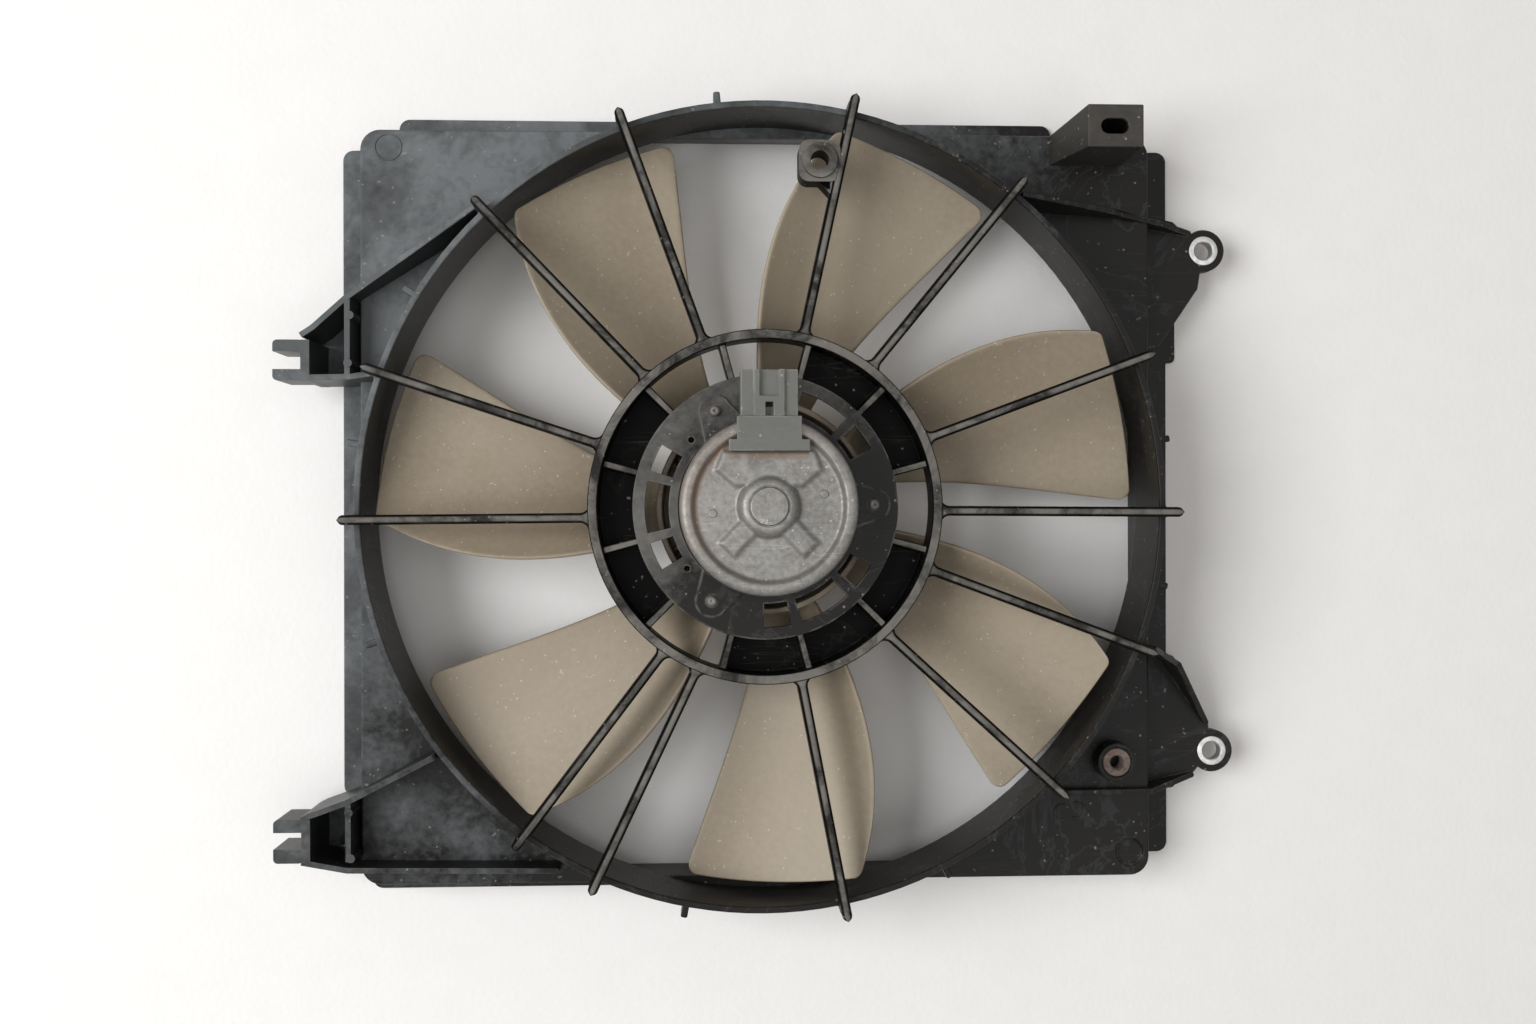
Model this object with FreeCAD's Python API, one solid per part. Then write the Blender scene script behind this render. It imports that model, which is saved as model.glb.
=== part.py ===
# Electric radiator cooling fan: a moulded shroud that clamps to the radiator, a seven-bladed
# fan inside its ring, and a permanent-magnet motor in the middle of the guard.
# Millimetres. The origin is on the fan's axis in the plane that lies against the radiator.
# +Z points from the radiator through the fan to the motor, +X along the shroud's long side
# towards the two screw eyelets, and +Y towards the electrical connector's mouth.
import FreeCAD, Part
import math
import os
from FreeCAD import Vector

# Heights above the radiator face
LIP_T = 2.5               # base lip against the radiator
PLATE_TOP = 30.0          # outer face of the shroud's plate
RING_TOP = 66.0           # rim of the fan ring
GUARD_TOP = 79.0          # top of the guard spokes
HUB_RING_LOW = 64.0
HUB_RING_TOP = 80.0
DISC_LOW = 75.0           # motor disc, which the motor's flange hangs under
DISC_T = 3.0
ARM_LOW = 8.0             # left-hand fork arms
ARM_TOP = 45.0
EYELET_LOW = 13.0         # right-hand screw arms

# Shroud panel
WALL = 2.5
PLATE_LEFT = -183.3
PLATE_RIGHT = 181.5
PLATE_BOTTOM = -172.5
PLATE_TOP_EDGE = 173.0
PLATE_CORNER_R = 9.0
SKIRT_FLARE_UP = 5.1      # how far the skirt leans out at its foot, on the +Y side
SKIRT_FLARE = 1.2         # and on the other three sides
LIP_LEFT = -197.5
LIP_LEFT_ENDS = (-137.0, 170.0)
LIP_TOP = 185.0
LIP_TOP_ENDS = (-171.0, 142.0)
LIP_BOTTOM = -181.0
LIP_BOTTOM_ENDS = (-184.0, 60.0)
LIP_RIGHT = 198.6
LIP_RIGHT_ENDS = (-168.0, 172.6)
LIP_PAD_RIGHT = 203.0
LIP_PADS = ((70.0, 101.0), (-137.0, -72.4))
LIP_CORNER_R = 5.0
DIMPLE_AT = (172.4, -161.6)
DIMPLE_R = 6.0
DIMPLE_DEEP = 1.2

# Fan ring and guard
RING_R = 175.5
RING_WALL = 3.0
HUB_RING_R = 76.5
HUB_RING_WALL = 4.3
SPOKE_W = 4.3
SPOKE_PAST = 4.0          # how far a spoke's tip reaches past the ring
SPOKE_FLARE = 4.0
SPOKE_BEVEL = 1.3
SPOKE_FOOT = 52.0         # how far down the ring's outside a spoke's tip runs
# direction of each spoke at the hub ring and where it crosses the rim, in degrees
SPOKES = ((110.6, 110.3), (77.2, 77.5), (52.6, 51.5), (22.8, 21.4), (-1.4, -0.8),
          (-20.9, -20.7), (-46.2, -44.0), (-78.4, -78.8), (-113.0, -114.4),
          (-125.2, -126.4), (-176.5, -178.3), (159.4, 160.8), (132.7, 133.4))
FLOOR_SPOKE = 6           # this one runs down to the plate
TAB_ANGLES = (96.4, 9.5, -11.2, -63.3, -101.1, -160.9, 171.1, 148.6)
TAB_W = 3.0
TAB_REACH = 7.5
TAB_LOW = 44.0
TAB_TOP = 56.0

# Hub ring and motor disc in the middle of the guard
DISC_R = 57.2
DISC_WALL = 2.5
POCKET_FLOOR_T = 2.0
RIB_W = 3.2
RIB_TOP = 78.0
RIB_FIRST = 15.0
RIB_STEP = 30.0
OPEN_SECTORS = (75.0, 105.0, -15.0, 225.0)
SLOT_INSET = 3.9          # land between the can's hole and the slots
SLOT_MARGIN = 5.2         # land between the slots and the disc's edge
SLOT_CENTRES = (60.0, 180.0, 300.0)
SLOT_SPANS = ((-31.0, -17.5), (-12.5, 12.5), (17.5, 31.0))
DRAIN_ANGLES = (138.0, 218.0)
DRAIN_R = 1.3

# Motor
CAN_R = 36.8
CAN_DEEP = 37.0           # height of the can's rear rim above its open end
CAN_WALL = 2.0
CAN_ROUND = 3.0
CAN_CLEAR = 1.0           # gap between the can and the disc's hole
RIM_W = 6.3               # width of the raised rim round the rear face
RIM_BEVEL = 1.2
ROUND_STEPS = 3           # flats that make up each rounding of the can
CAP_LEDGE = 0.7           # width and height of the step round the boss's cap
FACE_DEEP = 3.0
BOSS_R = 12.3
CAP_R = 8.0
BOSS_HIGH = 4.5
ARM_W = 10.0
ARM_OUT = 25.3
EMBOSS = 2.0
EMBOSS_BEVEL = 1.2
LOWER_ARMS = (226.0, 314.0)
RIVET_AT = ((-23.0, -2.9), (22.8, 5.1))
RIVET_R = 1.8
SCREW_INSET = 10.7        # from the disc's edge in to the screws
SCREW_ANGLES = (118.0, 1.0, 240.0)
SCREW_R = 2.5
SCREW_HEAD_R = 4.6
SCREW_HEAD_H = 3.6
SCREW_TIP = 82.0
EAR_R = 7.0
PAD_HIGH = 1.5
FLANGE_T = 3.5
DISH_R = 30.0
DISH_LOW = 61.0
DISH_WALL = 2.5
NOSE_R = 9.5
NOSE_LOW = 52.0
SHAFT_R = 4.0
RUNNING = 0.03            # radial clearance of the shaft in its bushes
SEAT = 0.05               # radial clearance of a seated round piece
BUSH_R = 7.0
BUSH_LEN = 8.0
AIR_GAP = 0.8
MAGNET_T = 6.0
MAGNET_SPAN = 130.0
MAGNET_LIFT = 1.5         # the magnets start this far above the can's open end
CLIP_T = 0.8
CORE_LIFT = 1.0           # and the core this far
CORE_SLOTS = 10
SLOT_W = 7.0
SLOT_DEEP = 11.0
COIL_HIGH = 3.5
COIL_GAP = 0.2
COIL_CLEAR = 0.6          # gap between the end turns and the brush card
COM_R = 10.0
COM_LEN = 5.6
COM_GAP = 2.4             # room between the commutator and the can's rear face
CARD_T = 1.4
BRUSH_W = 5.0
BRUSH_LEN = 11.0

# Connector in its holder on the can's rear edge
BAR_W = 33.0
BAR_FROM = 22.6
BAR_TO = 27.3
HOLDER_W = 26.3
HOLDER_TO = 36.8
HOLDER_DEEP = 4.0         # how far the holder sits below the can's inner face
HOLDER_PROUD = 3.5        # and stands above the can's rim
SHELL_W = 23.4
SHELL_HIGH = 14.0
MOUTH_Y = 55.8
SHELL_WALL = 2.0
SOCKET_DEEP = 15.0
RAIL_W = 2.3
RAIL_AT = 5.1
RAIL_HIGH = 1.5
LATCH_FROM = 42.5
LATCH_TO = 45.1
WINDOW_W = 3.2
BLADE_W = 6.3
BLADE_T = 0.8
BLADE_AT = 4.8
BLADE_OUT = 3.0           # how far a terminal stops short of the mouth
FIT = 0.1

# Fan
HUB_R = 47.5
HUB_LOW = 30.0
HUB_TOP = 62.0
HUB_WALL = 2.6
HUB_BEVEL = 2.2
HUB_BOSS_R = 10.0
HUB_BOSS_TOP = 48.0
HUB_RIBS = 7
BLADES = 7
TIP_GAP = 4.5             # gap between the blade tips and the ring
BLADE_THICK_ROOT = 3.0
BLADE_THICK_TIP = 2.0
# leading and trailing edge at root, middle and tip: radius, angle, height
LEAD_EDGE = ((46.0, 14.0, 33.0), (105.0, 5.7, 34.0), (171.0, 1.0, 35.0))
TRAIL_EDGE = ((46.0, 42.5, 60.0), (105.0, 38.6, 58.5), (171.0, 27.4, 56.0))
CAMBER = 0.07             # depth of the blade's hollow as a share of its chord
LEAD_TIP_R = 6.0
TRAIL_TIP_R = 3.0
NUT_FLATS = 10.0
NUT_H = 4.5
WASHER_R = 8.0
WASHER_T = 1.2
THREAD_R = 3.0
PIN_R = 1.25
PIN_LEN = 16.0

# Left-hand fork arms, seen from the motor side
PRONG_OUT = -218.7
PRONG_ROOT = -206.4
PRONG_LOW = 20.0
ARM_PARTITION = -187.0
PEG_R = 1.9
UPPER_SLOT = (61.9, 69.9)
UPPER_PRONGS = (56.9, 75.1)
UPPER_DIAGONAL = ((-206.4, 77.1), (-201.0, 80.7), (-186.6, 93.7), (-126.6, 131.5))
UPPER_STRAIGHT = ((-206.4, 58.2), (-184.5, 58.6), (-169.2, 58.9))
UPPER_PEGS = ((-185.4, 64.7), (-184.6, 86.1))
LOWER_SLOT = (-152.6, -145.1)
LOWER_PRONGS = (-158.8, -139.4)
LOWER_DIAGONAL = ((-206.4, -139.5), (-203.1, -137.9), (-186.8, -132.1), (-145.0, -109.4))
LOWER_STRAIGHT = ((-206.4, -158.5), (-186.1, -162.3), (-93.0, -163.6))
LOWER_PEGS = ((-185.4, -136.4), (-184.4, -156.8))
GUSSET_TOP = 62.0

# Right-hand screw arms
EYELET_T = 5.0
EYELET_R = 10.0
SLEEVE_R = 6.8
SLEEVE_BORE_R = 4.2
SLEEVE_FLANGE_T = 0.6
SLEEVE_FLANGE_R = 6.9
UPPER_EYELET = (211.7, 121.9)
LOWER_EYELET = (215.2, -116.4)
UPPER_WEB = ((181.0, 139.0), (197.0, 135.6), (211.7, 121.9), (209.0, 103.8), (188.4, 73.5), (181.0, 73.5))
UPPER_RIDGE = ((115.4, 139.3, 62.0), (158.8, 136.6, 40.0), (188.3, 132.9, 28.0), (204.0, 130.0, 20.0))
LOWER_WEB = ((181.0, -65.0), (192.5, -71.3), (213.5, -101.6), (215.2, -116.4), (204.6, -129.0), (181.0, -134.0))
LOWER_RIDGE = ((138.0, -132.6, 36.0), (182.0, -132.6, 34.0), (205.0, -127.6, 20.0))
LOWER_BRACE = ((175.5, -64.0, 60.0), (192.5, -73.0, 40.0), (212.0, -102.5, 20.0))
RIDGE_W = 2.5

# Bracket with a slot, harness eye and screw boss
SLOT_BOX = (143.9, 168.8, 159.4, 178.4)
SLOT_BOX_TOP = 66.0
SLOT_BOX_FOOT = 134.8
SLOT_AT = (155.9, 168.7)
SLOT_LEN = 12.3
SLOT_H = 6.7
EYE_AT = (23.5, 149.0)
EYE_SIDE = 18.0
EYE_HOLE_R = 4.0
EYE_RING_R = 7.5
EYE_LOW = 67.0
EYE_RING_HIGH = 1.5
EYE_SPOKE = 1
BOSS_PAST = 23.215        # from the ring's outside to the screw boss's middle
BOSS_DIRECTION = -35.8018
SCREW_BOSS_R = 9.0
SCREW_BOSS_TOP = 40.0
INSERT_R = 6.5
INSERT_HOLE_R = 3.0
INSERT_LEN = 9.0

UP = Vector(0, 0, 1)
ORIGIN = Vector(0, 0, 0)
BIG = 300.0

RING_OUT = RING_R + RING_WALL
SPOKE_TIP_R = RING_OUT + SPOKE_PAST
BOSS_AT = ((RING_OUT + BOSS_PAST) * math.cos(math.radians(BOSS_DIRECTION)),
           (RING_OUT + BOSS_PAST) * math.sin(math.radians(BOSS_DIRECTION)))
DISC_TOP = DISC_LOW + DISC_T
SCREW_PCR = DISC_R - SCREW_INSET
SLOT_OUT = DISC_R - SLOT_MARGIN
SLOT_IN = CAN_R + CAN_CLEAR + SLOT_INSET
DRAIN_AT = SLOT_IN + DRAIN_R
CAN_IN = CAN_R - CAN_WALL
RIM_IN = CAN_R - RIM_W
CAN_TOP = DISC_LOW + CAN_DEEP
FACE = CAN_TOP - FACE_DEEP
FACE_IN = FACE - CAN_WALL
MAGNET_OUT = CAN_IN - SEAT
CORE_R = MAGNET_OUT - MAGNET_T - AIR_GAP
COM_LOW = FACE_IN - COM_GAP - COM_LEN
CARD_LOW = COM_LOW + COM_LEN - BRUSH_W - CARD_T - FIT
CORE_LOW = DISC_LOW + CORE_LIFT
CORE_LEN = CARD_LOW - COIL_CLEAR - COIL_HIGH - CORE_LOW
MAGNET_LOW = DISC_LOW + MAGNET_LIFT
MAGNET_LEN = CORE_LEN
HOLDER_LOW = FACE_IN - HOLDER_DEEP
HOLDER_TOP = CAN_TOP + HOLDER_PROUD
TERMINAL_Z = FACE_IN - FIT - BLADE_T / 2
SHELL_LOW = TERMINAL_Z - SHELL_HIGH / 2
SHELL_TOP = TERMINAL_Z + SHELL_HIGH / 2


def at(radius, degrees, z=0.0):
    """Point at a radius and an angle about the fan's axis."""
    turn = math.radians(degrees)
    return Vector(radius * math.cos(turn), radius * math.sin(turn), z)


def turned(shape, degrees):
    """Copy of a shape turned about the fan's axis."""
    copy = shape.copy()
    copy.rotate(ORIGIN, UP, degrees)
    return copy


def rod(radius, low, high, x=0.0, y=0.0):
    """Upright cylinder between two heights."""
    return Part.makeCylinder(radius, high - low, Vector(x, y, low))


def tube(outer, inner, low, high, x=0.0, y=0.0):
    """Upright hollow cylinder."""
    return rod(outer, low, high, x, y).cut(rod(inner, low - 1, high + 1, x, y))


def block(x0, x1, y0, y1, z0, z1):
    """Box between two corners."""
    return Part.makeBox(x1 - x0, y1 - y0, z1 - z0, Vector(x0, y0, z0))


def sector(inner, outer, start, end, low, high):
    """Piece of a ring between two angles."""
    pie = Part.makeCylinder(outer, high - low, Vector(0, 0, low), UP, end - start)
    return turned(pie, start).cut(rod(inner, low - 1, high + 1))


def prism(points, low, high):
    """Upright prism on a flat outline of straight sides."""
    corners = [Vector(x, y, low) for x, y in points]
    outline = Part.makePolygon(corners + [corners[0]])
    return Part.Face(outline).extrude(Vector(0, 0, high - low))


def joined(shapes):
    """One solid out of several that touch or overlap."""
    first = shapes[0]
    return first.multiFuse(shapes[1:]).removeSplitter() if len(shapes) > 1 else first


def radial_box(width, inner, outer, degrees, low, high):
    """Box that runs outwards from the axis."""
    return turned(block(inner, outer, -width / 2, width / 2, low, high), degrees)


def wall_along(points, width, low, tops):
    """Upright wall along a line of points, each with its own top height."""
    parts = []
    for start, end, top0, top1 in zip(points, points[1:], tops, tops[1:]):
        a = Vector(start[0], start[1], 0)
        b = Vector(end[0], end[1], 0)
        side = (b - a).cross(UP).normalize() * (width / 2)
        foot = Vector(0, 0, low)
        corners = [a + side + foot, b + side + foot,
                   b + side + UP * top1, a + side + UP * top0]
        face = Part.Face(Part.makePolygon(corners + [corners[0]]))
        parts.append(face.extrude(side * -2))
        parts.append(rod(width / 2, low, min(top0, top1), b.x, b.y))
    return joined(parts)


def rounded_box(left, right, bottom, top, low, high, corner):
    """Box with its four upright edges rounded."""
    box = block(left, right, bottom, top, low, high)
    edges = [e for e in box.Edges if abs(e.Vertexes[0].Z - e.Vertexes[1].Z) > 1e-6]
    return box.makeFillet(corner, edges)


def rectangle_wire(left, right, bottom, top, corner, z):
    """Rounded rectangle at a height."""
    box = rounded_box(left, right, bottom, top, z, z + 1, corner)
    face = min(box.Faces, key=lambda f: f.CenterOfMass.z)
    return face.OuterWire


def skirt_shell(inset):
    """Block of the dish's shape: a little wider at its foot than at its plate."""
    foot = rectangle_wire(PLATE_LEFT - SKIRT_FLARE + inset, PLATE_RIGHT + SKIRT_FLARE - inset,
                          PLATE_BOTTOM - SKIRT_FLARE + inset, PLATE_TOP_EDGE + SKIRT_FLARE_UP - inset,
                          PLATE_CORNER_R - inset, 0)
    head = rectangle_wire(PLATE_LEFT + inset, PLATE_RIGHT - inset,
                          PLATE_BOTTOM + inset, PLATE_TOP_EDGE - inset,
                          PLATE_CORNER_R - inset, PLATE_TOP)
    return Part.makeLoft([foot, head], True, True)


def base_lip():
    """Flat strips round the dish's foot that lie against the radiator."""
    strips = [
        rounded_box(LIP_LEFT, 0, *LIP_LEFT_ENDS, 0, LIP_T, LIP_CORNER_R),
        rounded_box(*LIP_TOP_ENDS, 0, LIP_TOP, 0, LIP_T, LIP_CORNER_R),
        rounded_box(*LIP_BOTTOM_ENDS, LIP_BOTTOM, 0, 0, LIP_T, LIP_CORNER_R),
        rounded_box(0, LIP_RIGHT, *LIP_RIGHT_ENDS, 0, LIP_T, LIP_CORNER_R),
    ]
    for low, high in LIP_PADS:
        strips.append(rounded_box(0, LIP_PAD_RIGHT, low, high, 0, LIP_T, LIP_CORNER_R / 2))
    return joined(strips).cut(skirt_shell(0))


def shroud_skirt():
    """Flared wall that runs round the dish, from the radiator to the plate."""
    inside = skirt_shell(WALL)
    inside.translate(Vector(0, 0, -WALL))
    return skirt_shell(0).cut(inside).common(block(-BIG, BIG, -BIG, BIG, 0, PLATE_TOP - WALL))


def shroud_plate():
    """Flat plate over the radiator with the round opening for the fan."""
    slab = skirt_shell(0).common(block(-BIG, BIG, -BIG, BIG, PLATE_TOP - WALL, BIG))
    body = joined([slab, rod(RING_OUT, PLATE_TOP - WALL, PLATE_TOP)])
    opening = rod(RING_R, PLATE_TOP - 2 * WALL, PLATE_TOP + 1)
    opening = opening.common(block(-BIG, BIG, PLATE_BOTTOM + WALL, PLATE_TOP_EDGE - WALL, 0, BIG))
    x, y = DIMPLE_AT
    return body.cut([opening, rod(DIMPLE_R, PLATE_TOP - DIMPLE_DEEP, PLATE_TOP + 1, x, y)])


def shroud_ring():
    """Ring that the blade tips run in, with the spoke feet and the small tabs outside."""
    ring = tube(RING_OUT, RING_R, PLATE_TOP, RING_TOP)
    shapes = [ring]
    for number, (_, degrees) in enumerate(SPOKES):
        foot = PLATE_TOP if number == FLOOR_SPOKE else SPOKE_FOOT
        rib = radial_box(SPOKE_W, RING_OUT - 1, SPOKE_TIP_R, degrees, foot, RING_TOP)
        shapes.append(rib)
    for degrees in TAB_ANGLES:
        shapes.append(radial_box(TAB_W, RING_OUT - 1, RING_OUT + TAB_REACH, degrees, TAB_LOW, TAB_TOP))
    return joined(shapes).cut(rod(RING_R, 0, BIG))


def guard_spoke(hub_degrees, rim_degrees):
    """One spoke of the guard: a bar that flares into the hub ring and has a bevelled back."""
    start = at(HUB_RING_R, hub_degrees)
    end = at(SPOKE_TIP_R, rim_degrees)
    length = (end - start).Length
    half = SPOKE_W / 2
    wide = half + SPOKE_FLARE
    inset = SPOKE_FLARE * (1 - math.sqrt(0.5))
    z = RING_TOP
    low_flare = Part.Arc(Vector(0, -wide, z), Vector(inset, -half - inset, z), Vector(SPOKE_FLARE, -half, z))
    tip = Part.Arc(Vector(length - half, -half, z), Vector(length, 0, z), Vector(length - half, half, z))
    high_flare = Part.Arc(Vector(SPOKE_FLARE, half, z), Vector(inset, half + inset, z), Vector(0, wide, z))
    edges = [
        Part.LineSegment(Vector(-half, -wide, z), Vector(0, -wide, z)),
        low_flare,
        Part.LineSegment(Vector(SPOKE_FLARE, -half, z), Vector(length - half, -half, z)),
        tip,
        Part.LineSegment(Vector(length - half, half, z), Vector(SPOKE_FLARE, half, z)),
        high_flare,
        Part.LineSegment(Vector(0, wide, z), Vector(-half, wide, z)),
        Part.LineSegment(Vector(-half, wide, z), Vector(-half, -wide, z)),
    ]
    outline = Part.Wire([edge.toShape() for edge in edges])
    bar = Part.Face(outline).extrude(Vector(0, 0, GUARD_TOP - RING_TOP))
    bevelled = [e for e in bar.Edges
                if min(v.Z for v in e.Vertexes) > GUARD_TOP - 1e-6 and e.CenterOfMass.x > 0]
    bar = bar.makeChamfer(SPOKE_BEVEL, bevelled)
    heading = math.degrees(math.atan2(end.y - start.y, end.x - start.x))
    bar.rotate(ORIGIN, UP, heading)
    bar.translate(start)
    return bar.cut(rod(HUB_RING_R, RING_TOP - 1, GUARD_TOP + 1))


def guard_spokes():
    """All the spokes; they aren't evenly spaced."""
    return Part.makeCompound([guard_spoke(hub, rim) for hub, rim in SPOKES])


def ear_outline(reach, radius, low, high):
    """Rounded lobe that reaches out from the motor to one screw."""
    lobe = rod(radius, low, high, reach, 0)
    neck = prism(((CAN_IN, -radius * 1.5), (reach, -radius), (reach, radius), (CAN_IN, radius * 1.5)), low, high)
    return joined([lobe, neck])


def hub_ring():
    """Ring that the spokes meet, with the ribs and closed pockets between it and the disc."""
    shapes = [tube(HUB_RING_R, HUB_RING_R - HUB_RING_WALL, HUB_RING_LOW, HUB_RING_TOP)]
    inner = DISC_R - 1
    outer = HUB_RING_R - HUB_RING_WALL + 1
    for number in range(round(360 / RIB_STEP)):
        start = RIB_FIRST + number * RIB_STEP
        shapes.append(radial_box(RIB_W, inner, outer, start, HUB_RING_LOW, RIB_TOP))
        opens = any(abs((start - gap + 180) % 360 - 180) < 1 for gap in OPEN_SECTORS)
        if not opens:
            shapes.append(sector(inner, outer, start, start + RIB_STEP,
                                 HUB_RING_LOW, HUB_RING_LOW + POCKET_FLOOR_T))
    return joined(shapes).cut(rod(DISC_R, 0, BIG))


def motor_disc():
    """Slotted disc that carries the motor, with its outer wall and three screw pads."""
    shapes = [tube(DISC_R, DISC_R - DISC_WALL, HUB_RING_LOW, DISC_TOP),
              tube(DISC_R, CAN_R + CAN_CLEAR, DISC_LOW, DISC_TOP)]
    for degrees in SCREW_ANGLES:
        shapes.append(turned(ear_outline(SCREW_PCR, EAR_R, DISC_LOW, DISC_TOP + PAD_HIGH), degrees))
    cuts = [rod(CAN_R + CAN_CLEAR, DISC_LOW - 1, DISC_TOP + 3)]
    for centre in SLOT_CENTRES:
        for start, end in SLOT_SPANS:
            cuts.append(sector(SLOT_IN, SLOT_OUT, centre + start, centre + end,
                               DISC_LOW - 1, DISC_TOP + 1))
    for degrees in DRAIN_ANGLES:
        spot = at(DRAIN_AT, degrees)
        cuts.append(rod(DRAIN_R, DISC_LOW - 1, DISC_TOP + 1, spot.x, spot.y))
    for degrees in SCREW_ANGLES:
        spot = at(SCREW_PCR, degrees)
        cuts.append(rod(SCREW_R + SEAT, DISC_LOW - 1, DISC_TOP + 3, spot.x, spot.y))
    return joined(shapes).cut(cuts)


def clear_of_shroud(shape, ring):
    """Trim a piece back to the faces of the dish and the ring that it stands on."""
    return shape.cut([skirt_shell(0), rod(RING_OUT, 0, BIG), ring])


def fork_arm(slot, prongs, diagonal, straight, pegs, far_top, ring):
    """Open-topped box arm with a forked end, and the two gussets that tie it to the ring."""
    side = PLATE_LEFT - SKIRT_FLARE
    low_y, high_y = prongs
    back_y = straight[0][1]
    front_y = diagonal[2][1]
    floor = prism((straight[0], (PLATE_LEFT, back_y), (PLATE_LEFT, front_y), diagonal[1], diagonal[0]),
                  ARM_LOW, ARM_LOW + WALL)
    outer = wall_along(diagonal, WALL, ARM_LOW, [ARM_TOP] * (len(diagonal) - 1) + [GUSSET_TOP])
    inner = wall_along(straight, WALL, ARM_LOW, [ARM_TOP] * (len(straight) - 1) + [far_top])
    partition = block(ARM_PARTITION, side, min(back_y, front_y), max(back_y, front_y), ARM_LOW, ARM_TOP)
    end = block(PRONG_ROOT, PRONG_ROOT + 1.6 * WALL, low_y, high_y, ARM_LOW, ARM_TOP)
    fork = rounded_box(PRONG_OUT, PRONG_ROOT + 1, low_y, high_y, PRONG_LOW, ARM_TOP, 2.0)
    gap = block(PRONG_OUT - 1, PRONG_ROOT, slot[0], slot[1], 0, ARM_TOP + 1)
    posts = [rod(PEG_R, ARM_LOW, ARM_TOP + 0.5, x, y) for x, y in pegs]
    arm = joined([floor, outer, inner, partition, end, fork.cut(gap)] + posts)
    return clear_of_shroud(arm, ring)


def ridge(points, low):
    """Wall with a falling top along points that hold their own heights."""
    return wall_along([(x, y) for x, y, _ in points], RIDGE_W, low, [z for _, _, z in points])


def eyelet_arm(centre, web, ridges, ring):
    """Web with a round screw eye and stiffening walls, from the plate's edge outwards."""
    top = EYELET_LOW + EYELET_T
    shapes = [prism(web, EYELET_LOW, top), rod(EYELET_R, EYELET_LOW, top, *centre)]
    for line in ridges:
        shapes.append(ridge(line, EYELET_LOW))
    arm = clear_of_shroud(joined(shapes), ring).common(block(PLATE_RIGHT, BIG, -BIG, BIG, 0, BIG))
    return arm.cut(rod(SLEEVE_R - 1 + SEAT, 0, BIG, *centre))


def plate_ridges(ring):
    """Walls on the plate that carry on from the eyelet arms and rise to the ring."""
    over_plate = block(-BIG, PLATE_RIGHT, -BIG, BIG, PLATE_TOP, BIG)
    walls = [clear_of_shroud(ridge(line, EYELET_LOW), ring).common(over_plate)
             for line in (UPPER_RIDGE, LOWER_RIDGE, LOWER_BRACE)]
    return Part.makeCompound(walls)


def eyelet_sleeves():
    """Pressed steel sleeves that a screw clamps against, one in each eye."""
    sleeves = []
    for centre in (UPPER_EYELET, LOWER_EYELET):
        low = EYELET_LOW - SLEEVE_FLANGE_T
        top = EYELET_LOW + EYELET_T + SLEEVE_FLANGE_T
        barrel = rod(SLEEVE_R - 1, low, top, *centre)
        flanges = [rod(SLEEVE_FLANGE_R, top - SLEEVE_FLANGE_T, top, *centre),
                   rod(SLEEVE_FLANGE_R, low, low + SLEEVE_FLANGE_T, *centre)]
        sleeves.append(joined([barrel] + flanges).cut(rod(SLEEVE_BORE_R, 0, BIG, *centre)))
    return Part.makeCompound(sleeves)


def slot_tower(inset, top):
    """Four-sided tower whose left and upper sides lean, smaller all round by an inset."""
    left, right, low, high = SLOT_BOX
    front = [(SLOT_BOX_FOOT + inset, PLATE_TOP), (right - inset, PLATE_TOP), (right - inset, top), (left + inset, top)]
    side = [(low + inset, PLATE_TOP), (PLATE_TOP_EDGE - inset, PLATE_TOP), (high - inset, top), (low + inset, top)]
    across = [Vector(x, 0, z) for x, z in front]
    along = [Vector(0, y, z) for y, z in side]
    first = Part.Face(Part.makePolygon(across + [across[0]])).extrude(Vector(0, BIG, 0))
    second = Part.Face(Part.makePolygon(along + [along[0]])).extrude(Vector(BIG, 0, 0))
    return first.common(second)


def slot_bracket():
    """Hollow tower with a slotted top for a bracket's bolt."""
    x, y = SLOT_AT
    half = (SLOT_LEN - SLOT_H) / 2
    slot = joined([rod(SLOT_H / 2, PLATE_TOP, BIG, x - half, y), rod(SLOT_H / 2, PLATE_TOP, BIG, x + half, y),
                   block(x - half, x + half, y - SLOT_H / 2, y + SLOT_H / 2, PLATE_TOP, BIG)])
    hollow = slot_tower(WALL, SLOT_BOX_TOP - WALL)
    return slot_tower(0, SLOT_BOX_TOP).cut([hollow, slot])


def harness_eye():
    """Square eye beside one spoke that the wiring clips into."""
    x, y = EYE_AT
    half = EYE_SIDE / 2
    plate = rounded_box(x - half, x + half, y - half, y + half, EYE_LOW, GUARD_TOP, half / 2)
    collar = rod(EYE_RING_R, EYE_LOW, GUARD_TOP + EYE_RING_HIGH, x, y)
    hub_degrees, rim_degrees = SPOKES[EYE_SPOKE]
    neck_r = math.hypot(x, y)
    ends = [at(r, (hub_degrees + 3 * rim_degrees) / 4) for r in (neck_r + half * 0.6, neck_r - half * 1.6)]
    neck = prism([(x, y + half)] + [(spot.x, spot.y) for spot in ends] + [(x, y - half)],
                 EYE_LOW, GUARD_TOP - 1)
    eye = joined([plate, collar, neck])
    hole = rod(EYE_HOLE_R, 0, BIG, x, y)
    return eye.cut([hole, guard_spoke(hub_degrees, rim_degrees)])


def screw_boss(ring):
    """Round boss on the plate that holds the threaded insert."""
    boss = rod(SCREW_BOSS_R, PLATE_TOP, SCREW_BOSS_TOP, *BOSS_AT)
    pocket = rod(INSERT_R + SEAT, SCREW_BOSS_TOP - INSERT_LEN, BIG, *BOSS_AT)
    return boss.cut([pocket, ring])


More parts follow.
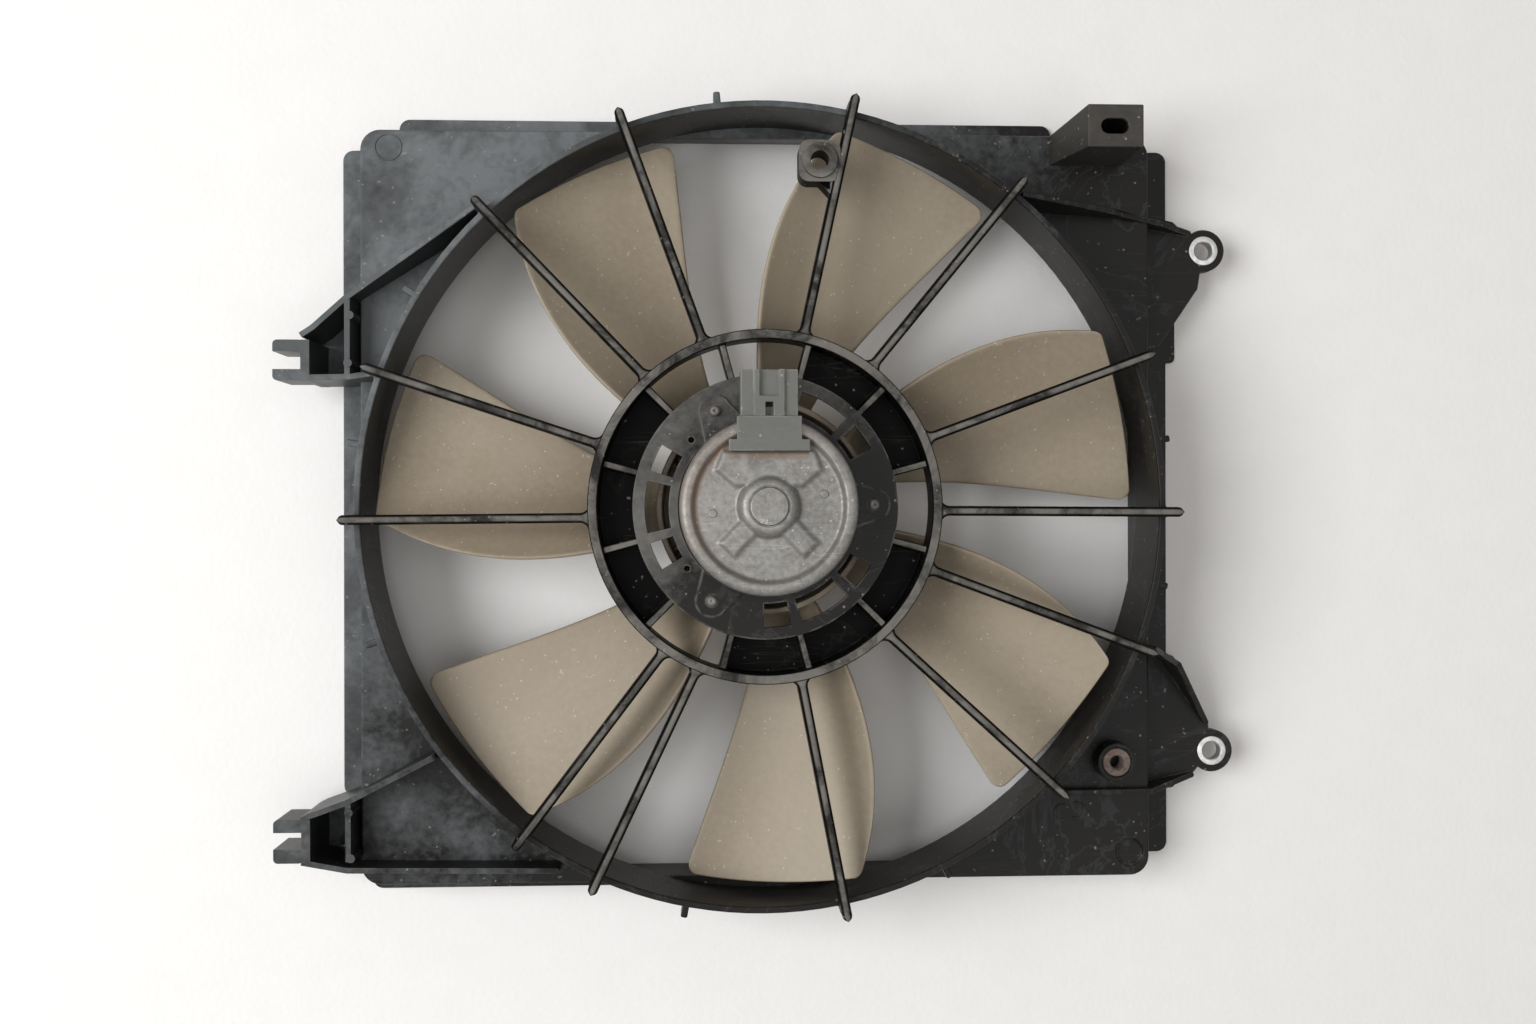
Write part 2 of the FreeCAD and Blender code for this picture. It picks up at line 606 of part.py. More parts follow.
def threaded_insert():
    """Steel insert with a threaded hole."""
    low = SCREW_BOSS_TOP - INSERT_LEN
    return tube(INSERT_R, INSERT_HOLE_R, low, SCREW_BOSS_TOP, *BOSS_AT)


def revolved(profile):
    """Solid turned about the axis from a closed outline of radius and height points."""
    points = [Vector(r, 0, z) for r, z in profile]
    return Part.Face(Part.makePolygon(points + [points[0]])).revolve(ORIGIN, UP, 360)


def rounding(centre_r, centre_z, radius, steps):
    """Outline points of a quarter round, from its outer side up to its top, in equal steps."""
    angles = [math.radians(90 * k / steps) for k in range(steps + 1)]
    return [(centre_r + radius * math.cos(a), centre_z + radius * math.sin(a)) for a in angles]


def can_body():
    """Outer form of the motor can with its rounded rim, sunk rear face and bearing boss."""
    boss_top = FACE + BOSS_HIGH
    shoulder = BOSS_R - CAP_R - CAP_LEDGE
    rim = rounding(CAN_R - CAN_ROUND, CAN_TOP - CAN_ROUND, CAN_ROUND, ROUND_STEPS)
    crown = rounding(CAP_R + CAP_LEDGE, boss_top - shoulder, shoulder, ROUND_STEPS)
    return revolved([(0, DISC_LOW), (CAN_R, DISC_LOW)] + rim
                    + [(RIM_IN + RIM_BEVEL, CAN_TOP), (RIM_IN, FACE), (BOSS_R, FACE)] + crown
                    + [(CAP_R, boss_top), (CAP_R, boss_top + CAP_LEDGE), (0, boss_top + CAP_LEDGE)])


def connector_notch(gap):
    """Room in the can's edge that the connector holder fills."""
    return joined([
        block(-BAR_W / 2 - gap, BAR_W / 2 + gap, BAR_FROM - gap, BAR_TO + gap, HOLDER_LOW - gap, BIG),
        block(-HOLDER_W / 2 - gap, HOLDER_W / 2 + gap, BAR_TO - 1, CAN_R + 5, HOLDER_LOW - gap, BIG)])


def motor_can():
    """Deep-drawn steel can that carries the magnets, with its embossed rear face."""
    shapes = [can_body()]
    for degrees in LOWER_ARMS:
        arm = turned(block(CAP_R, ARM_OUT, -ARM_W / 2, ARM_W / 2, FACE - 1, FACE + EMBOSS), degrees)
        top_edges = [e for e in arm.Edges if min(v.Z for v in e.Vertexes) > FACE + EMBOSS - 1e-6]
        shapes.append(arm.makeChamfer(EMBOSS_BEVEL, top_edges))
    plateau = prism(((-14, 8), (-22, 15), (-17, BAR_FROM - 1), (17, BAR_FROM - 1), (22, 15), (14, 8)),
                    FACE - 1, FACE + EMBOSS)
    top_edges = [e for e in plateau.Edges if min(v.Z for v in e.Vertexes) > FACE + EMBOSS - 1e-6]
    shapes.append(plateau.makeChamfer(EMBOSS_BEVEL, top_edges))
    for x, y in RIVET_AT:
        shapes.append(rod(RIVET_R, FACE - 1, FACE + 0.8, x, y))
    solid = joined(shapes)
    room = rod(CAN_IN, DISC_LOW - 1, FACE_IN)
    pocket = rod(CAP_R + SEAT, FACE_IN - 1, FACE + EMBOSS)
    return solid.cut([room, pocket, connector_notch(FIT)])


def motor_bracket():
    """Front cover of the motor: flange with three ears, dished middle and bearing nose."""
    low = DISC_LOW - FLANGE_T
    shapes = [rod(CAN_R, low, DISC_LOW), rod(DISH_R, DISH_LOW, DISC_LOW), rod(NOSE_R, NOSE_LOW, DISC_LOW)]
    for degrees in SCREW_ANGLES:
        shapes.append(turned(ear_outline(SCREW_PCR, EAR_R, low, DISC_LOW), degrees))
    cover = joined(shapes)
    cuts = [rod(DISH_R - DISH_WALL, DISH_LOW + DISH_WALL, BIG),
            rod(BUSH_R + SEAT, NOSE_LOW + 1, BIG),
            rod(SHAFT_R + 1, 0, BIG)]
    for degrees in SCREW_ANGLES:
        spot = at(SCREW_PCR, degrees)
        cuts.append(rod(SCREW_R + SEAT, 0, BIG, spot.x, spot.y))
    return cover.cut(cuts)


def motor_screws():
    """Pan-head screws up through the ears into the carrier's pads."""
    under = DISC_LOW - FLANGE_T
    screws = []
    for degrees in SCREW_ANGLES:
        spot = at(SCREW_PCR, degrees)
        shank = rod(SCREW_R, under - 1, SCREW_TIP - 1, spot.x, spot.y)
        point = Part.makeCone(SCREW_R, SCREW_R - 1, 1, Vector(spot.x, spot.y, SCREW_TIP - 1))
        head = rod(SCREW_HEAD_R, under - SCREW_HEAD_H, under, spot.x, spot.y)
        recess = prism([(spot.x + math.cos(math.radians(a)) * 2, spot.y + math.sin(math.radians(a)) * 2)
                        for a in range(0, 360, 60)], under - SCREW_HEAD_H - 1, under - SCREW_HEAD_H + 2)
        screws.append(joined([shank, point, head]).cut(recess))
    return Part.makeCompound(screws)


def rear_bush():
    """Sintered bush in the can's boss."""
    return tube(CAP_R, SHAFT_R + RUNNING, FACE + EMBOSS - BUSH_LEN + 2, FACE + EMBOSS)


def front_bush():
    """Sintered bush in the cover's nose."""
    return tube(BUSH_R, SHAFT_R + RUNNING, NOSE_LOW + 1, NOSE_LOW + 1 + BUSH_LEN)


def field_magnets():
    """Two curved ferrite magnets that face each other across the armature."""
    shapes = []
    for centre in (0, 180):
        shapes.append(sector(MAGNET_OUT - MAGNET_T, MAGNET_OUT, centre - MAGNET_SPAN / 2,
                             centre + MAGNET_SPAN / 2, MAGNET_LOW, MAGNET_LOW + MAGNET_LEN))
    return Part.makeCompound(shapes)


def magnet_clips():
    """Spring-steel strips between the magnets' ends that hold them against the can."""
    gap = 180 - MAGNET_SPAN
    shapes = []
    for centre in (90, 270):
        start = centre - gap / 2
        shapes.append(joined([
            sector(MAGNET_OUT - CLIP_T, MAGNET_OUT, start, start + gap, MAGNET_LOW, MAGNET_LOW + MAGNET_LEN),
            sector(MAGNET_OUT - MAGNET_T, MAGNET_OUT, start, start + 1.6, MAGNET_LOW, MAGNET_LOW + MAGNET_LEN),
            sector(MAGNET_OUT - MAGNET_T, MAGNET_OUT, start + gap - 1.6, start + gap,
                   MAGNET_LOW, MAGNET_LOW + MAGNET_LEN)]))
    return Part.makeCompound(shapes)


def armature_core():
    """Laminated iron core with slots for the windings."""
    core = tube(CORE_R, SHAFT_R, CORE_LOW, CORE_LOW + CORE_LEN)
    cuts = []
    for number in range(CORE_SLOTS):
        degrees = number * 360 / CORE_SLOTS
        cuts.append(radial_box(SLOT_W, CORE_R - 1 - SLOT_DEEP, CORE_R - 1, degrees, CORE_LOW - 1, BIG))
        cuts.append(radial_box(2.0, CORE_R - 2, CORE_R + 1, degrees, CORE_LOW - 1, BIG))
    return core.cut(cuts)


def armature_windings():
    """Copper coils: a bar in each slot and a ring of end turns above and below the core."""
    inner = CORE_R - 1 - SLOT_DEEP + COIL_GAP
    outer = CORE_R - 1 - COIL_GAP
    low = CORE_LOW - COIL_HIGH
    high = CORE_LOW + CORE_LEN
    shapes = [tube(outer, inner, low, CORE_LOW), tube(outer, inner, high, high + COIL_HIGH)]
    for number in range(CORE_SLOTS):
        degrees = number * 360 / CORE_SLOTS
        shapes.append(radial_box(SLOT_W - 2 * COIL_GAP, inner + 0.5, outer - 0.5, degrees,
                                 low + 1, high + COIL_HIGH - 1))
    return joined(shapes)


def commutator():
    """Copper segments round the shaft, cut apart by thin grooves."""
    body = tube(COM_R, SHAFT_R, COM_LOW, COM_LOW + COM_LEN)
    grooves = [radial_box(0.6, COM_R - 1, COM_R + 1, number * 36 + 18, COM_LOW - 1, BIG) for number in range(10)]
    return body.cut(grooves)


def brush_card():
    """Moulded card across the can that holds the two brush tubes."""
    plate = tube(CAN_IN - SEAT, COM_R + 1, CARD_LOW, CARD_LOW + CARD_T)
    top = CARD_LOW + CARD_T
    half = BRUSH_W / 2 + FIT
    shapes = [plate]
    for side in (0, 180):
        for edge in (-half - 1.2, half):
            shapes.append(turned(block(COM_R + 2, CAN_IN - 2, edge, edge + 1.2, CARD_LOW, top + BRUSH_W), side))
        shapes.append(turned(block(CAN_IN - 3, CAN_IN - 1.8, -half - 1.2, half + 1.2, CARD_LOW, top + BRUSH_W), side))
    return joined(shapes)


def brushes():
    """Carbon brushes that bear on the commutator."""
    low = CARD_LOW + CARD_T
    half = BRUSH_W / 2
    blocks = [turned(block(COM_R, COM_R + BRUSH_LEN, -half, half, low, low + BRUSH_W), side) for side in (0, 180)]
    return Part.makeCompound([b.cut(rod(COM_R + RUNNING, 0, BIG)) for b in blocks])


def brush_springs():
    """Springs behind the brushes, each as its outer form."""
    shapes = []
    middle = CARD_LOW + CARD_T + BRUSH_W / 2
    start = COM_R + BRUSH_LEN
    length = CAN_IN - 3 - start
    for side in (0, 180):
        coil = Part.makeCylinder(BRUSH_W / 2 - 0.3, length, Vector(start, 0, middle), Vector(1, 0, 0))
        core = Part.makeCylinder(BRUSH_W / 2 - 1.1, length, Vector(start, 0, middle), Vector(1, 0, 0))
        shapes.append(turned(coil.cut(core), side))
    return Part.makeCompound(shapes)


def terminal_slots(gap):
    """The two spade terminals: from the mouth through the holder and down to the card."""
    bend = BAR_FROM - 3
    shapes = []
    for x in (-BLADE_AT, BLADE_AT):
        flat = block(x - BLADE_W / 2 - gap, x + BLADE_W / 2 + gap, bend, MOUTH_Y - BLADE_OUT,
                     TERMINAL_Z - BLADE_T / 2 - gap, TERMINAL_Z + BLADE_T / 2 + gap)
        drop = block(x - BLADE_W / 2 - gap, x + BLADE_W / 2 + gap, bend, bend + BLADE_T,
                     CARD_LOW + CARD_T, TERMINAL_Z)
        shapes.append(joined([flat, drop]))
    return shapes


def connector_terminals():
    """Pair of tinned spade terminals."""
    return Part.makeCompound(terminal_slots(0))


def connector_holder():
    """Saddle that fills the notch in the can's edge and carries the connector."""
    bar = block(-BAR_W / 2, BAR_W / 2, BAR_FROM, BAR_TO, HOLDER_LOW, HOLDER_TOP)
    body = block(-HOLDER_W / 2, HOLDER_W / 2, BAR_TO, HOLDER_TO, HOLDER_LOW, HOLDER_TOP)
    return joined([bar, body]).cut(terminal_slots(FIT))


def connector_housing():
    """Two-pole socket with its latch bridge between two rails."""
    shell = block(-SHELL_W / 2, SHELL_W / 2, HOLDER_TO, MOUTH_Y, SHELL_LOW, SHELL_TOP)
    rails = [block(x - RAIL_W / 2, x + RAIL_W / 2, HOLDER_TO, MOUTH_Y, SHELL_TOP - WALL, SHELL_TOP + RAIL_HIGH)
             for x in (-RAIL_AT, RAIL_AT)]
    inner = RAIL_AT - RAIL_W / 2
    bridge = block(-inner, inner, LATCH_FROM, LATCH_TO, SHELL_TOP - 1, SHELL_TOP + RAIL_HIGH)
    sides = [block(x0, x1, HOLDER_TO, LATCH_FROM, SHELL_TOP - 1, SHELL_TOP + RAIL_HIGH)
             for x0, x1 in ((-inner, -WINDOW_W / 2), (WINDOW_W / 2, inner))]
    socket = block(-SHELL_W / 2 + SHELL_WALL, SHELL_W / 2 - SHELL_WALL, MOUTH_Y - SOCKET_DEEP, MOUTH_Y + 1,
                   SHELL_LOW + SHELL_WALL, SHELL_TOP - SHELL_WALL)
    window = block(-WINDOW_W / 2, WINDOW_W / 2, HOLDER_TO, LATCH_FROM, SHELL_TOP - SHELL_WALL - 1, BIG)
    valley = block(-inner, inner, LATCH_TO, MOUTH_Y + 1, SHELL_TOP - 0.8, BIG)
    housing = joined([shell, bridge] + rails + sides)
    return housing.cut([socket, window, valley] + terminal_slots(FIT))


def motor_shaft():
    """Shaft with a shoulder for the fan, a thread for its nut and a hole for the drive pin."""
    low = HUB_LOW - WASHER_T - NUT_H - 1.5
    shaft = joined([rod(SHAFT_R, HUB_LOW, FACE + 1), rod(THREAD_R, low, HUB_LOW)])
    return shaft.cut(pin_shape(PIN_R + SEAT / 2, PIN_LEN * 2))


def pin_shape(radius, length):
    """Cross pin through the shaft, level with the hub boss's groove."""
    return Part.makeCylinder(radius, length, Vector(-length / 2, 0, HUB_BOSS_TOP - PIN_R - 1), Vector(1, 0, 0))


def drive_pin():
    """Cross pin that turns the fan."""
    return pin_shape(PIN_R, PIN_LEN)


def fan_nut():
    """Flanged hexagon nut on the shaft's end."""
    top = HUB_LOW - WASHER_T
    corner = NUT_FLATS / math.sqrt(3)
    points = [(corner * math.cos(math.radians(a)), corner * math.sin(math.radians(a))) for a in range(0, 360, 60)]
    return prism(points, top - NUT_H, top).cut(rod(THREAD_R + SEAT, 0, BIG))


def fan_washer():
    """Washer between the nut and the hub."""
    return tube(WASHER_R, THREAD_R + SEAT, HUB_LOW - WASHER_T, HUB_LOW)


def edge_at(edge, radius):
    """Angle and height of a blade's edge at a radius, on the curve through its three points."""
    (r0, a0, z0), (r1, a1, z1), (r2, a2, z2) = edge
    k0 = (radius - r1) * (radius - r2) / ((r0 - r1) * (r0 - r2))
    k1 = (radius - r0) * (radius - r2) / ((r1 - r0) * (r1 - r2))
    k2 = (radius - r0) * (radius - r1) / ((r2 - r0) * (r2 - r1))
    return a0 * k0 + a1 * k1 + a2 * k2, z0 * k0 + z1 * k1 + z2 * k2


def blade_section(radius, middle, thick):
    """Closed outline of the blade in a flat plane square to its middle line."""
    ends = []
    for edge in (LEAD_EDGE, TRAIL_EDGE):
        degrees, z = edge_at(edge, radius)
        across = radius * math.tan(math.radians(degrees - middle))
        ends.append(Vector(radius, across, z))
    lead, trail = ends
    over = (trail - lead) * 0.06
    lead = lead - over
    trail = trail + over
    chord = trail - lead
    dip = Vector(0, chord.z, -chord.y).normalize() * (chord.Length * CAMBER)
    lift = Vector(0, -chord.z, chord.y).normalize() * thick
    low = Part.Arc(lead, (lead + trail) / 2 + dip, trail).toShape()
    high = Part.Arc(lead + lift, (lead + trail) / 2 + dip + lift, trail + lift).toShape()
    return Part.Wire([low, Part.makeLine(trail, trail + lift), high, Part.makeLine(lead + lift, lead)])


def blade_outline(tip_r):
    """Upright prism of the blade's outline seen along the axis, with its tip corners rounded."""
    root = LEAD_EDGE[0][0]

    def edge_arc(edge):
        radii = (root, (root + tip_r) / 2, tip_r)
        return [at(r, edge_at(edge, r)[0]) for r in radii]

    lead = edge_arc(LEAD_EDGE)
    trail = edge_arc(TRAIL_EDGE)
    tip_middle = at(tip_r, (LEAD_EDGE[2][1] + TRAIL_EDGE[2][1]) / 2)
    root_middle = at(root, (LEAD_EDGE[0][1] + TRAIL_EDGE[0][1]) / 2)
    edges = [Part.Arc(*lead), Part.Arc(lead[2], tip_middle, trail[2]),
             Part.Arc(trail[2], trail[1], trail[0]), Part.Arc(trail[0], root_middle, lead[0])]
    form = Part.Face(Part.Wire([edge.toShape() for edge in edges])).extrude(UP * BIG)
    for corner, radius in ((lead[2], LEAD_TIP_R), (trail[2], TRAIL_TIP_R)):
        upright = [e for e in form.Edges
                   if all((Vector(v.X, v.Y, 0) - corner).Length < 1e-3 for v in e.Vertexes)]
        form = form.makeFillet(radius, upright)
    return form


def fan_blade():
    """One twisted, hollow-faced blade."""
    tip_r = RING_R - TIP_GAP
    root = LEAD_EDGE[0][0]
    middle = (LEAD_EDGE[1][1] + TRAIL_EDGE[1][1]) / 2
    sections = []
    stations = 6
    for number in range(stations):
        share = number / (stations - 1)
        radius = root * 0.8 + (tip_r * 1.02 - root * 0.8) * share
        thick = BLADE_THICK_ROOT + (BLADE_THICK_TIP - BLADE_THICK_ROOT) * share
        sections.append(blade_section(radius, middle, thick))
    sheet = turned(Part.makeLoft(sections, True, True), middle)
    return sheet.common(blade_outline(tip_r))


def fan_hub():
    """Cup of the hub with its boss and inner ribs."""
    cup = rod(HUB_R, HUB_LOW, HUB_TOP)
    nose = [e for e in cup.Edges if e.Length > HUB_R and abs(e.CenterOfMass.z - HUB_LOW) < 1e-6]
    cup = cup.makeChamfer(HUB_BEVEL, nose)
    cup = cup.cut(rod(HUB_R - HUB_WALL, HUB_LOW + HUB_WALL, BIG))
    shapes = [cup, rod(HUB_BOSS_R, HUB_LOW, HUB_BOSS_TOP)]
    for number in range(HUB_RIBS):
        shapes.append(radial_box(2.0, HUB_BOSS_R - 1, HUB_R - 1, number * 360 / HUB_RIBS,
                                 HUB_LOW + HUB_WALL / 2, HUB_BOSS_TOP - 3))
    groove = block(-HUB_BOSS_R - 1, HUB_BOSS_R + 1, -PIN_R - SEAT, PIN_R + SEAT,
                   HUB_BOSS_TOP - 2 * PIN_R - 1 - SEAT, BIG)
    groove = groove.common(rod(HUB_BOSS_R, 0, BIG))
    return joined(shapes).cut([groove, rod(SHAFT_R + SEAT, 0, BIG)])


def fan_blades():
    """All the blades, each standing on the outside of the hub."""
    blade = fan_blade().cut(rod(HUB_R, 0, BIG))
    return Part.makeCompound([turned(blade, number * 360 / BLADES) for number in range(BLADES)])


def main():
    """Write each sub-part to its own file."""
    ring = shroud_ring()
    parts = {
        "shroud_plate": shroud_plate(),
        "shroud_skirt": shroud_skirt(),
        "base_lip": base_lip(),
        "shroud_ring": ring,
        "guard_spokes": guard_spokes(),
        "hub_ring": hub_ring(),
        "motor_disc": motor_disc(),
        "upper_fork_arm": fork_arm(UPPER_SLOT, UPPER_PRONGS, UPPER_DIAGONAL, UPPER_STRAIGHT,
                                   UPPER_PEGS, GUSSET_TOP, ring),
        "lower_fork_arm": fork_arm(LOWER_SLOT, LOWER_PRONGS, LOWER_DIAGONAL, LOWER_STRAIGHT,
                                   LOWER_PEGS, ARM_TOP, ring),
        "upper_eyelet_arm": eyelet_arm(UPPER_EYELET, UPPER_WEB, (UPPER_RIDGE,), ring),
        "lower_eyelet_arm": eyelet_arm(LOWER_EYELET, LOWER_WEB, (LOWER_RIDGE, LOWER_BRACE), ring),
        "plate_ridges": plate_ridges(ring),
        "eyelet_sleeves": eyelet_sleeves(),
        "slot_bracket": slot_bracket(),
        "harness_eye": harness_eye(),
        "screw_boss": screw_boss(ring),
        "threaded_insert": threaded_insert(),
        "motor_can": motor_can(),
        "motor_bracket": motor_bracket(),
        "motor_screws": motor_screws(),
        "rear_bush": rear_bush(),
        "front_bush": front_bush(),
        "field_magnets": field_magnets(),
        "magnet_clips": magnet_clips(),
        "brush_card": brush_card(),
        "brushes": brushes(),
        "brush_springs": brush_springs(),
        "connector_terminals": connector_terminals(),
        "connector_holder": connector_holder(),
        "connector_housing": connector_housing(),
        "motor_shaft": motor_shaft(),
        "armature_core": armature_core(),
        "armature_windings": armature_windings(),
        "commutator": commutator(),
        "fan_hub": fan_hub(),
        "fan_blades": fan_blades(),
        "drive_pin": drive_pin(),
        "fan_washer": fan_washer(),
        "fan_nut": fan_nut(),
    }
    os.makedirs("parts", exist_ok=True)
    for name, shape in parts.items():
        shape.exportStep(os.path.join("parts", name + ".step"))


main()
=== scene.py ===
"""Looks of a used radiator cooling fan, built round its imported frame.

The assembly lies flat with its motor up. The moulded shroud, its ring and arms keep the frame's
forms with rounded edges; the guard spokes, blades, motor can and small fasteners are made here.
"""

import logging
import math
from dataclasses import dataclass, field
from enum import Enum
from typing import Callable, Iterable, Optional

import bmesh
import bpy
from mathutils import Matrix, Vector
from mathutils.bvhtree import BVHTree


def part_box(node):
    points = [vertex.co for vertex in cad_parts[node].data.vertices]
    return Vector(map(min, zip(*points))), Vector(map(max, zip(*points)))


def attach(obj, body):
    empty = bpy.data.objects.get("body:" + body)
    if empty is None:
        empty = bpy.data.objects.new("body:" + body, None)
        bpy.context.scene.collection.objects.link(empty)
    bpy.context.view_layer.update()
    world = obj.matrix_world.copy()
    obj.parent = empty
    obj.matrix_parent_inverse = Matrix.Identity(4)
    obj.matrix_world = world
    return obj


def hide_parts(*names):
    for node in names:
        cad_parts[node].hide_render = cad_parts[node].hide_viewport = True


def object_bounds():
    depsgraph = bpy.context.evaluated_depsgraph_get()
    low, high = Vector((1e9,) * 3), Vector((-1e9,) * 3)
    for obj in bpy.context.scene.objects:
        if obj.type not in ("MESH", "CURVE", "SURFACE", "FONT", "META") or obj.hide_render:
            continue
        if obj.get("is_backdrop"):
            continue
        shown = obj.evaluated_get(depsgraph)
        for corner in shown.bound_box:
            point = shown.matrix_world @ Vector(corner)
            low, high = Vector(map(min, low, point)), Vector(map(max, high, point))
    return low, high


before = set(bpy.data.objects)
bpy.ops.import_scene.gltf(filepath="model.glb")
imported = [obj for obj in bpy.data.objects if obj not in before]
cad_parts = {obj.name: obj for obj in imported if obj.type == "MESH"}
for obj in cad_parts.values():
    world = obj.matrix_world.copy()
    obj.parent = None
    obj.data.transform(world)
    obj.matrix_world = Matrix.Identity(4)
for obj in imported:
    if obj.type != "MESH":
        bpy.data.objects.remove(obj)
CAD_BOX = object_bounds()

LOG = logging.getLogger("radiator_fan")
MM = 0.001
FULL_TURN = 2 * math.pi
MERGE = 1e-7
SLIVER = 1e-8
CORNER = 38
SMALL_CORNER = 40
Triple = tuple[float, float, float]
Spot = tuple[float, float]
Faces = list[tuple[int, ...]]
Sockets = dict[str, tuple[str, object]]


class Body(Enum):
    """Rigid bodies of the frame."""

    SHROUD = "shroud"
    ROTOR = "rotor"


class Slot(Enum):
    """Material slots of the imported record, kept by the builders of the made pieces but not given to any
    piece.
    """

    SHROUD = "shroud_plastic"
    GUARD = "guard_plastic"
    FAN = "fan_plastic"
    ZINC = "zinc_steel"
    PLATED = "plated_steel"
    RUSTY = "rusty_steel"
    SPRING = "spring_steel"
    CONNECTOR = "connector_plastic"


# Meshes


def new_object(name: str, mesh: bpy.types.Mesh) -> bpy.types.Object:
    """Links a mesh to the scene as an object at the origin.

    Args:
        name: Name of the object.
        mesh: Mesh that it shows.

    Returns:
        The new object.
    """
    made = bpy.data.objects.new(name, mesh)
    bpy.context.scene.collection.objects.link(made)
    return made


def smooth(mesh: bpy.types.Mesh, corner: float) -> None:
    """Shades a mesh smooth but for its corners above an angle in degrees."""
    mesh.shade_smooth()
    mesh.set_sharp_from_angle(angle=math.radians(corner))


def made_of(name: str, points: Iterable[Vector], faces: Faces) -> bpy.types.Object:
    """Makes an object with outward normals from points and faces.

    Args:
        name: Name of the object.
        points: Corner points in metres; those at one place are merged.
        faces: Corner numbers of each face.

    Returns:
        The object, shaded smooth but for its sharp corners.
    """
    mesh = bpy.data.meshes.new(name)
    mesh.from_pydata([tuple(p) for p in points], [], faces)
    form = bmesh.new()
    form.from_mesh(mesh)
    bmesh.ops.remove_doubles(form, verts=form.verts, dist=MERGE)
    bmesh.ops.dissolve_degenerate(form, dist=SLIVER, edges=form.edges)
    bmesh.ops.recalc_face_normals(form, faces=form.faces)
    form.to_mesh(mesh)
    form.free()
    smooth(mesh, CORNER)
    return new_object(name, mesh)


def polar(reach: float, angle: float, height: float, centre: Spot = (0.0, 0.0)) -> Vector:
    """Point at a height, an angle in radians and a distance from an upright line."""
    return Vector((centre[0] + reach * math.cos(angle), centre[1] + reach * math.sin(angle), height))


def band(low: int, high: int, around: int) -> Faces:
    """Faces between two closed rows of points.

    Args:
        low: Number of the first row's first point.
        high: Number of the second row's first point.
        around: Number of points in each row.

    Returns:
        Corner numbers of the four-sided faces.
    """
    sides = [(step, (step + 1) % around) for step in range(around)]
    return [(low + step, low + side, high + side, high + step) for step, side in sides]


def tube(name: str, rows: list[list[Vector]]) -> bpy.types.Object:
    """Makes a closed form through rows of points, with a face over each end.

    Args:
        name: Name of the object.
        rows: Closed rows with the same number of points.

    Returns:
        The object.
    """
    around = len(rows[0])
    last = (len(rows) - 1) * around
    faces = [tuple(range(around)), tuple(range(last, last + around))[::-1]]
    for row in range(0, last, around):
        faces += band(row, row + around, around)
    return made_of(name, [p for row in rows for p in row], faces)


def lathe(
    name: str,
    profile: list[Spot],
    steps: int = 64,
    spin: Optional[Callable[[float, float, float], float]] = None,
) -> bpy.types.Object:
    """Turns a closed outline about the Z axis.

    Args:
        name: Name of the object.
        profile: Closed outline of radius and height; points on the axis become poles.
        steps: Number of points round the axis.
        spin: Optional radius for a radius, height and angle, for outlines that aren't round.

    Returns:
        The object.
    """
    points, faces = [], []
    for row, (radius, height) in enumerate(profile):
        after = (row + 1) % len(profile)
        if max(radius, profile[after][0]) > 0:
            faces += band(row * steps, after * steps, steps)
        for step in range(steps):
            angle = FULL_TURN * step / steps
            points.append(polar(spin(radius, height, angle) if spin else radius, angle, height))
    return made_of(name, points, faces)


def arc(centre: Spot, radius: float, start: float, end: float, steps: int = 5) -> list[Spot]:
    """Points of an arc in an outline, from one angle in degrees to another."""
    angles = [math.radians(start + (end - start) * k / steps) for k in range(steps + 1)]
    return [(centre[0] + radius * math.cos(a), centre[1] + radius * math.sin(a)) for a in angles]


def ease(value: float) -> float:
    """Smooth step from 0 to 1 over the same range."""
    share = min(1.0, max(0.0, value))
    return share * share * (3 - 2 * share)


def settled(obj: bpy.types.Object, name: Optional[str] = None) -> bpy.types.Object:
    """Turns an object and its modifiers into a plain mesh object.

    Args:
        obj: Object with live modifiers; it is removed.
        name: Name of the new object, or None to keep the old one.

    Returns:
        The new object, at the origin.
    """
    graph = bpy.context.evaluated_depsgraph_get()
    shown = obj.evaluated_get(graph)
    mesh = bpy.data.meshes.new_from_object(shown, preserve_all_data_layers=True, depsgraph=graph)
    label = name or obj.name
    bpy.data.objects.remove(obj)
    mesh.name = label
    return new_object(label, mesh)


# Node trees


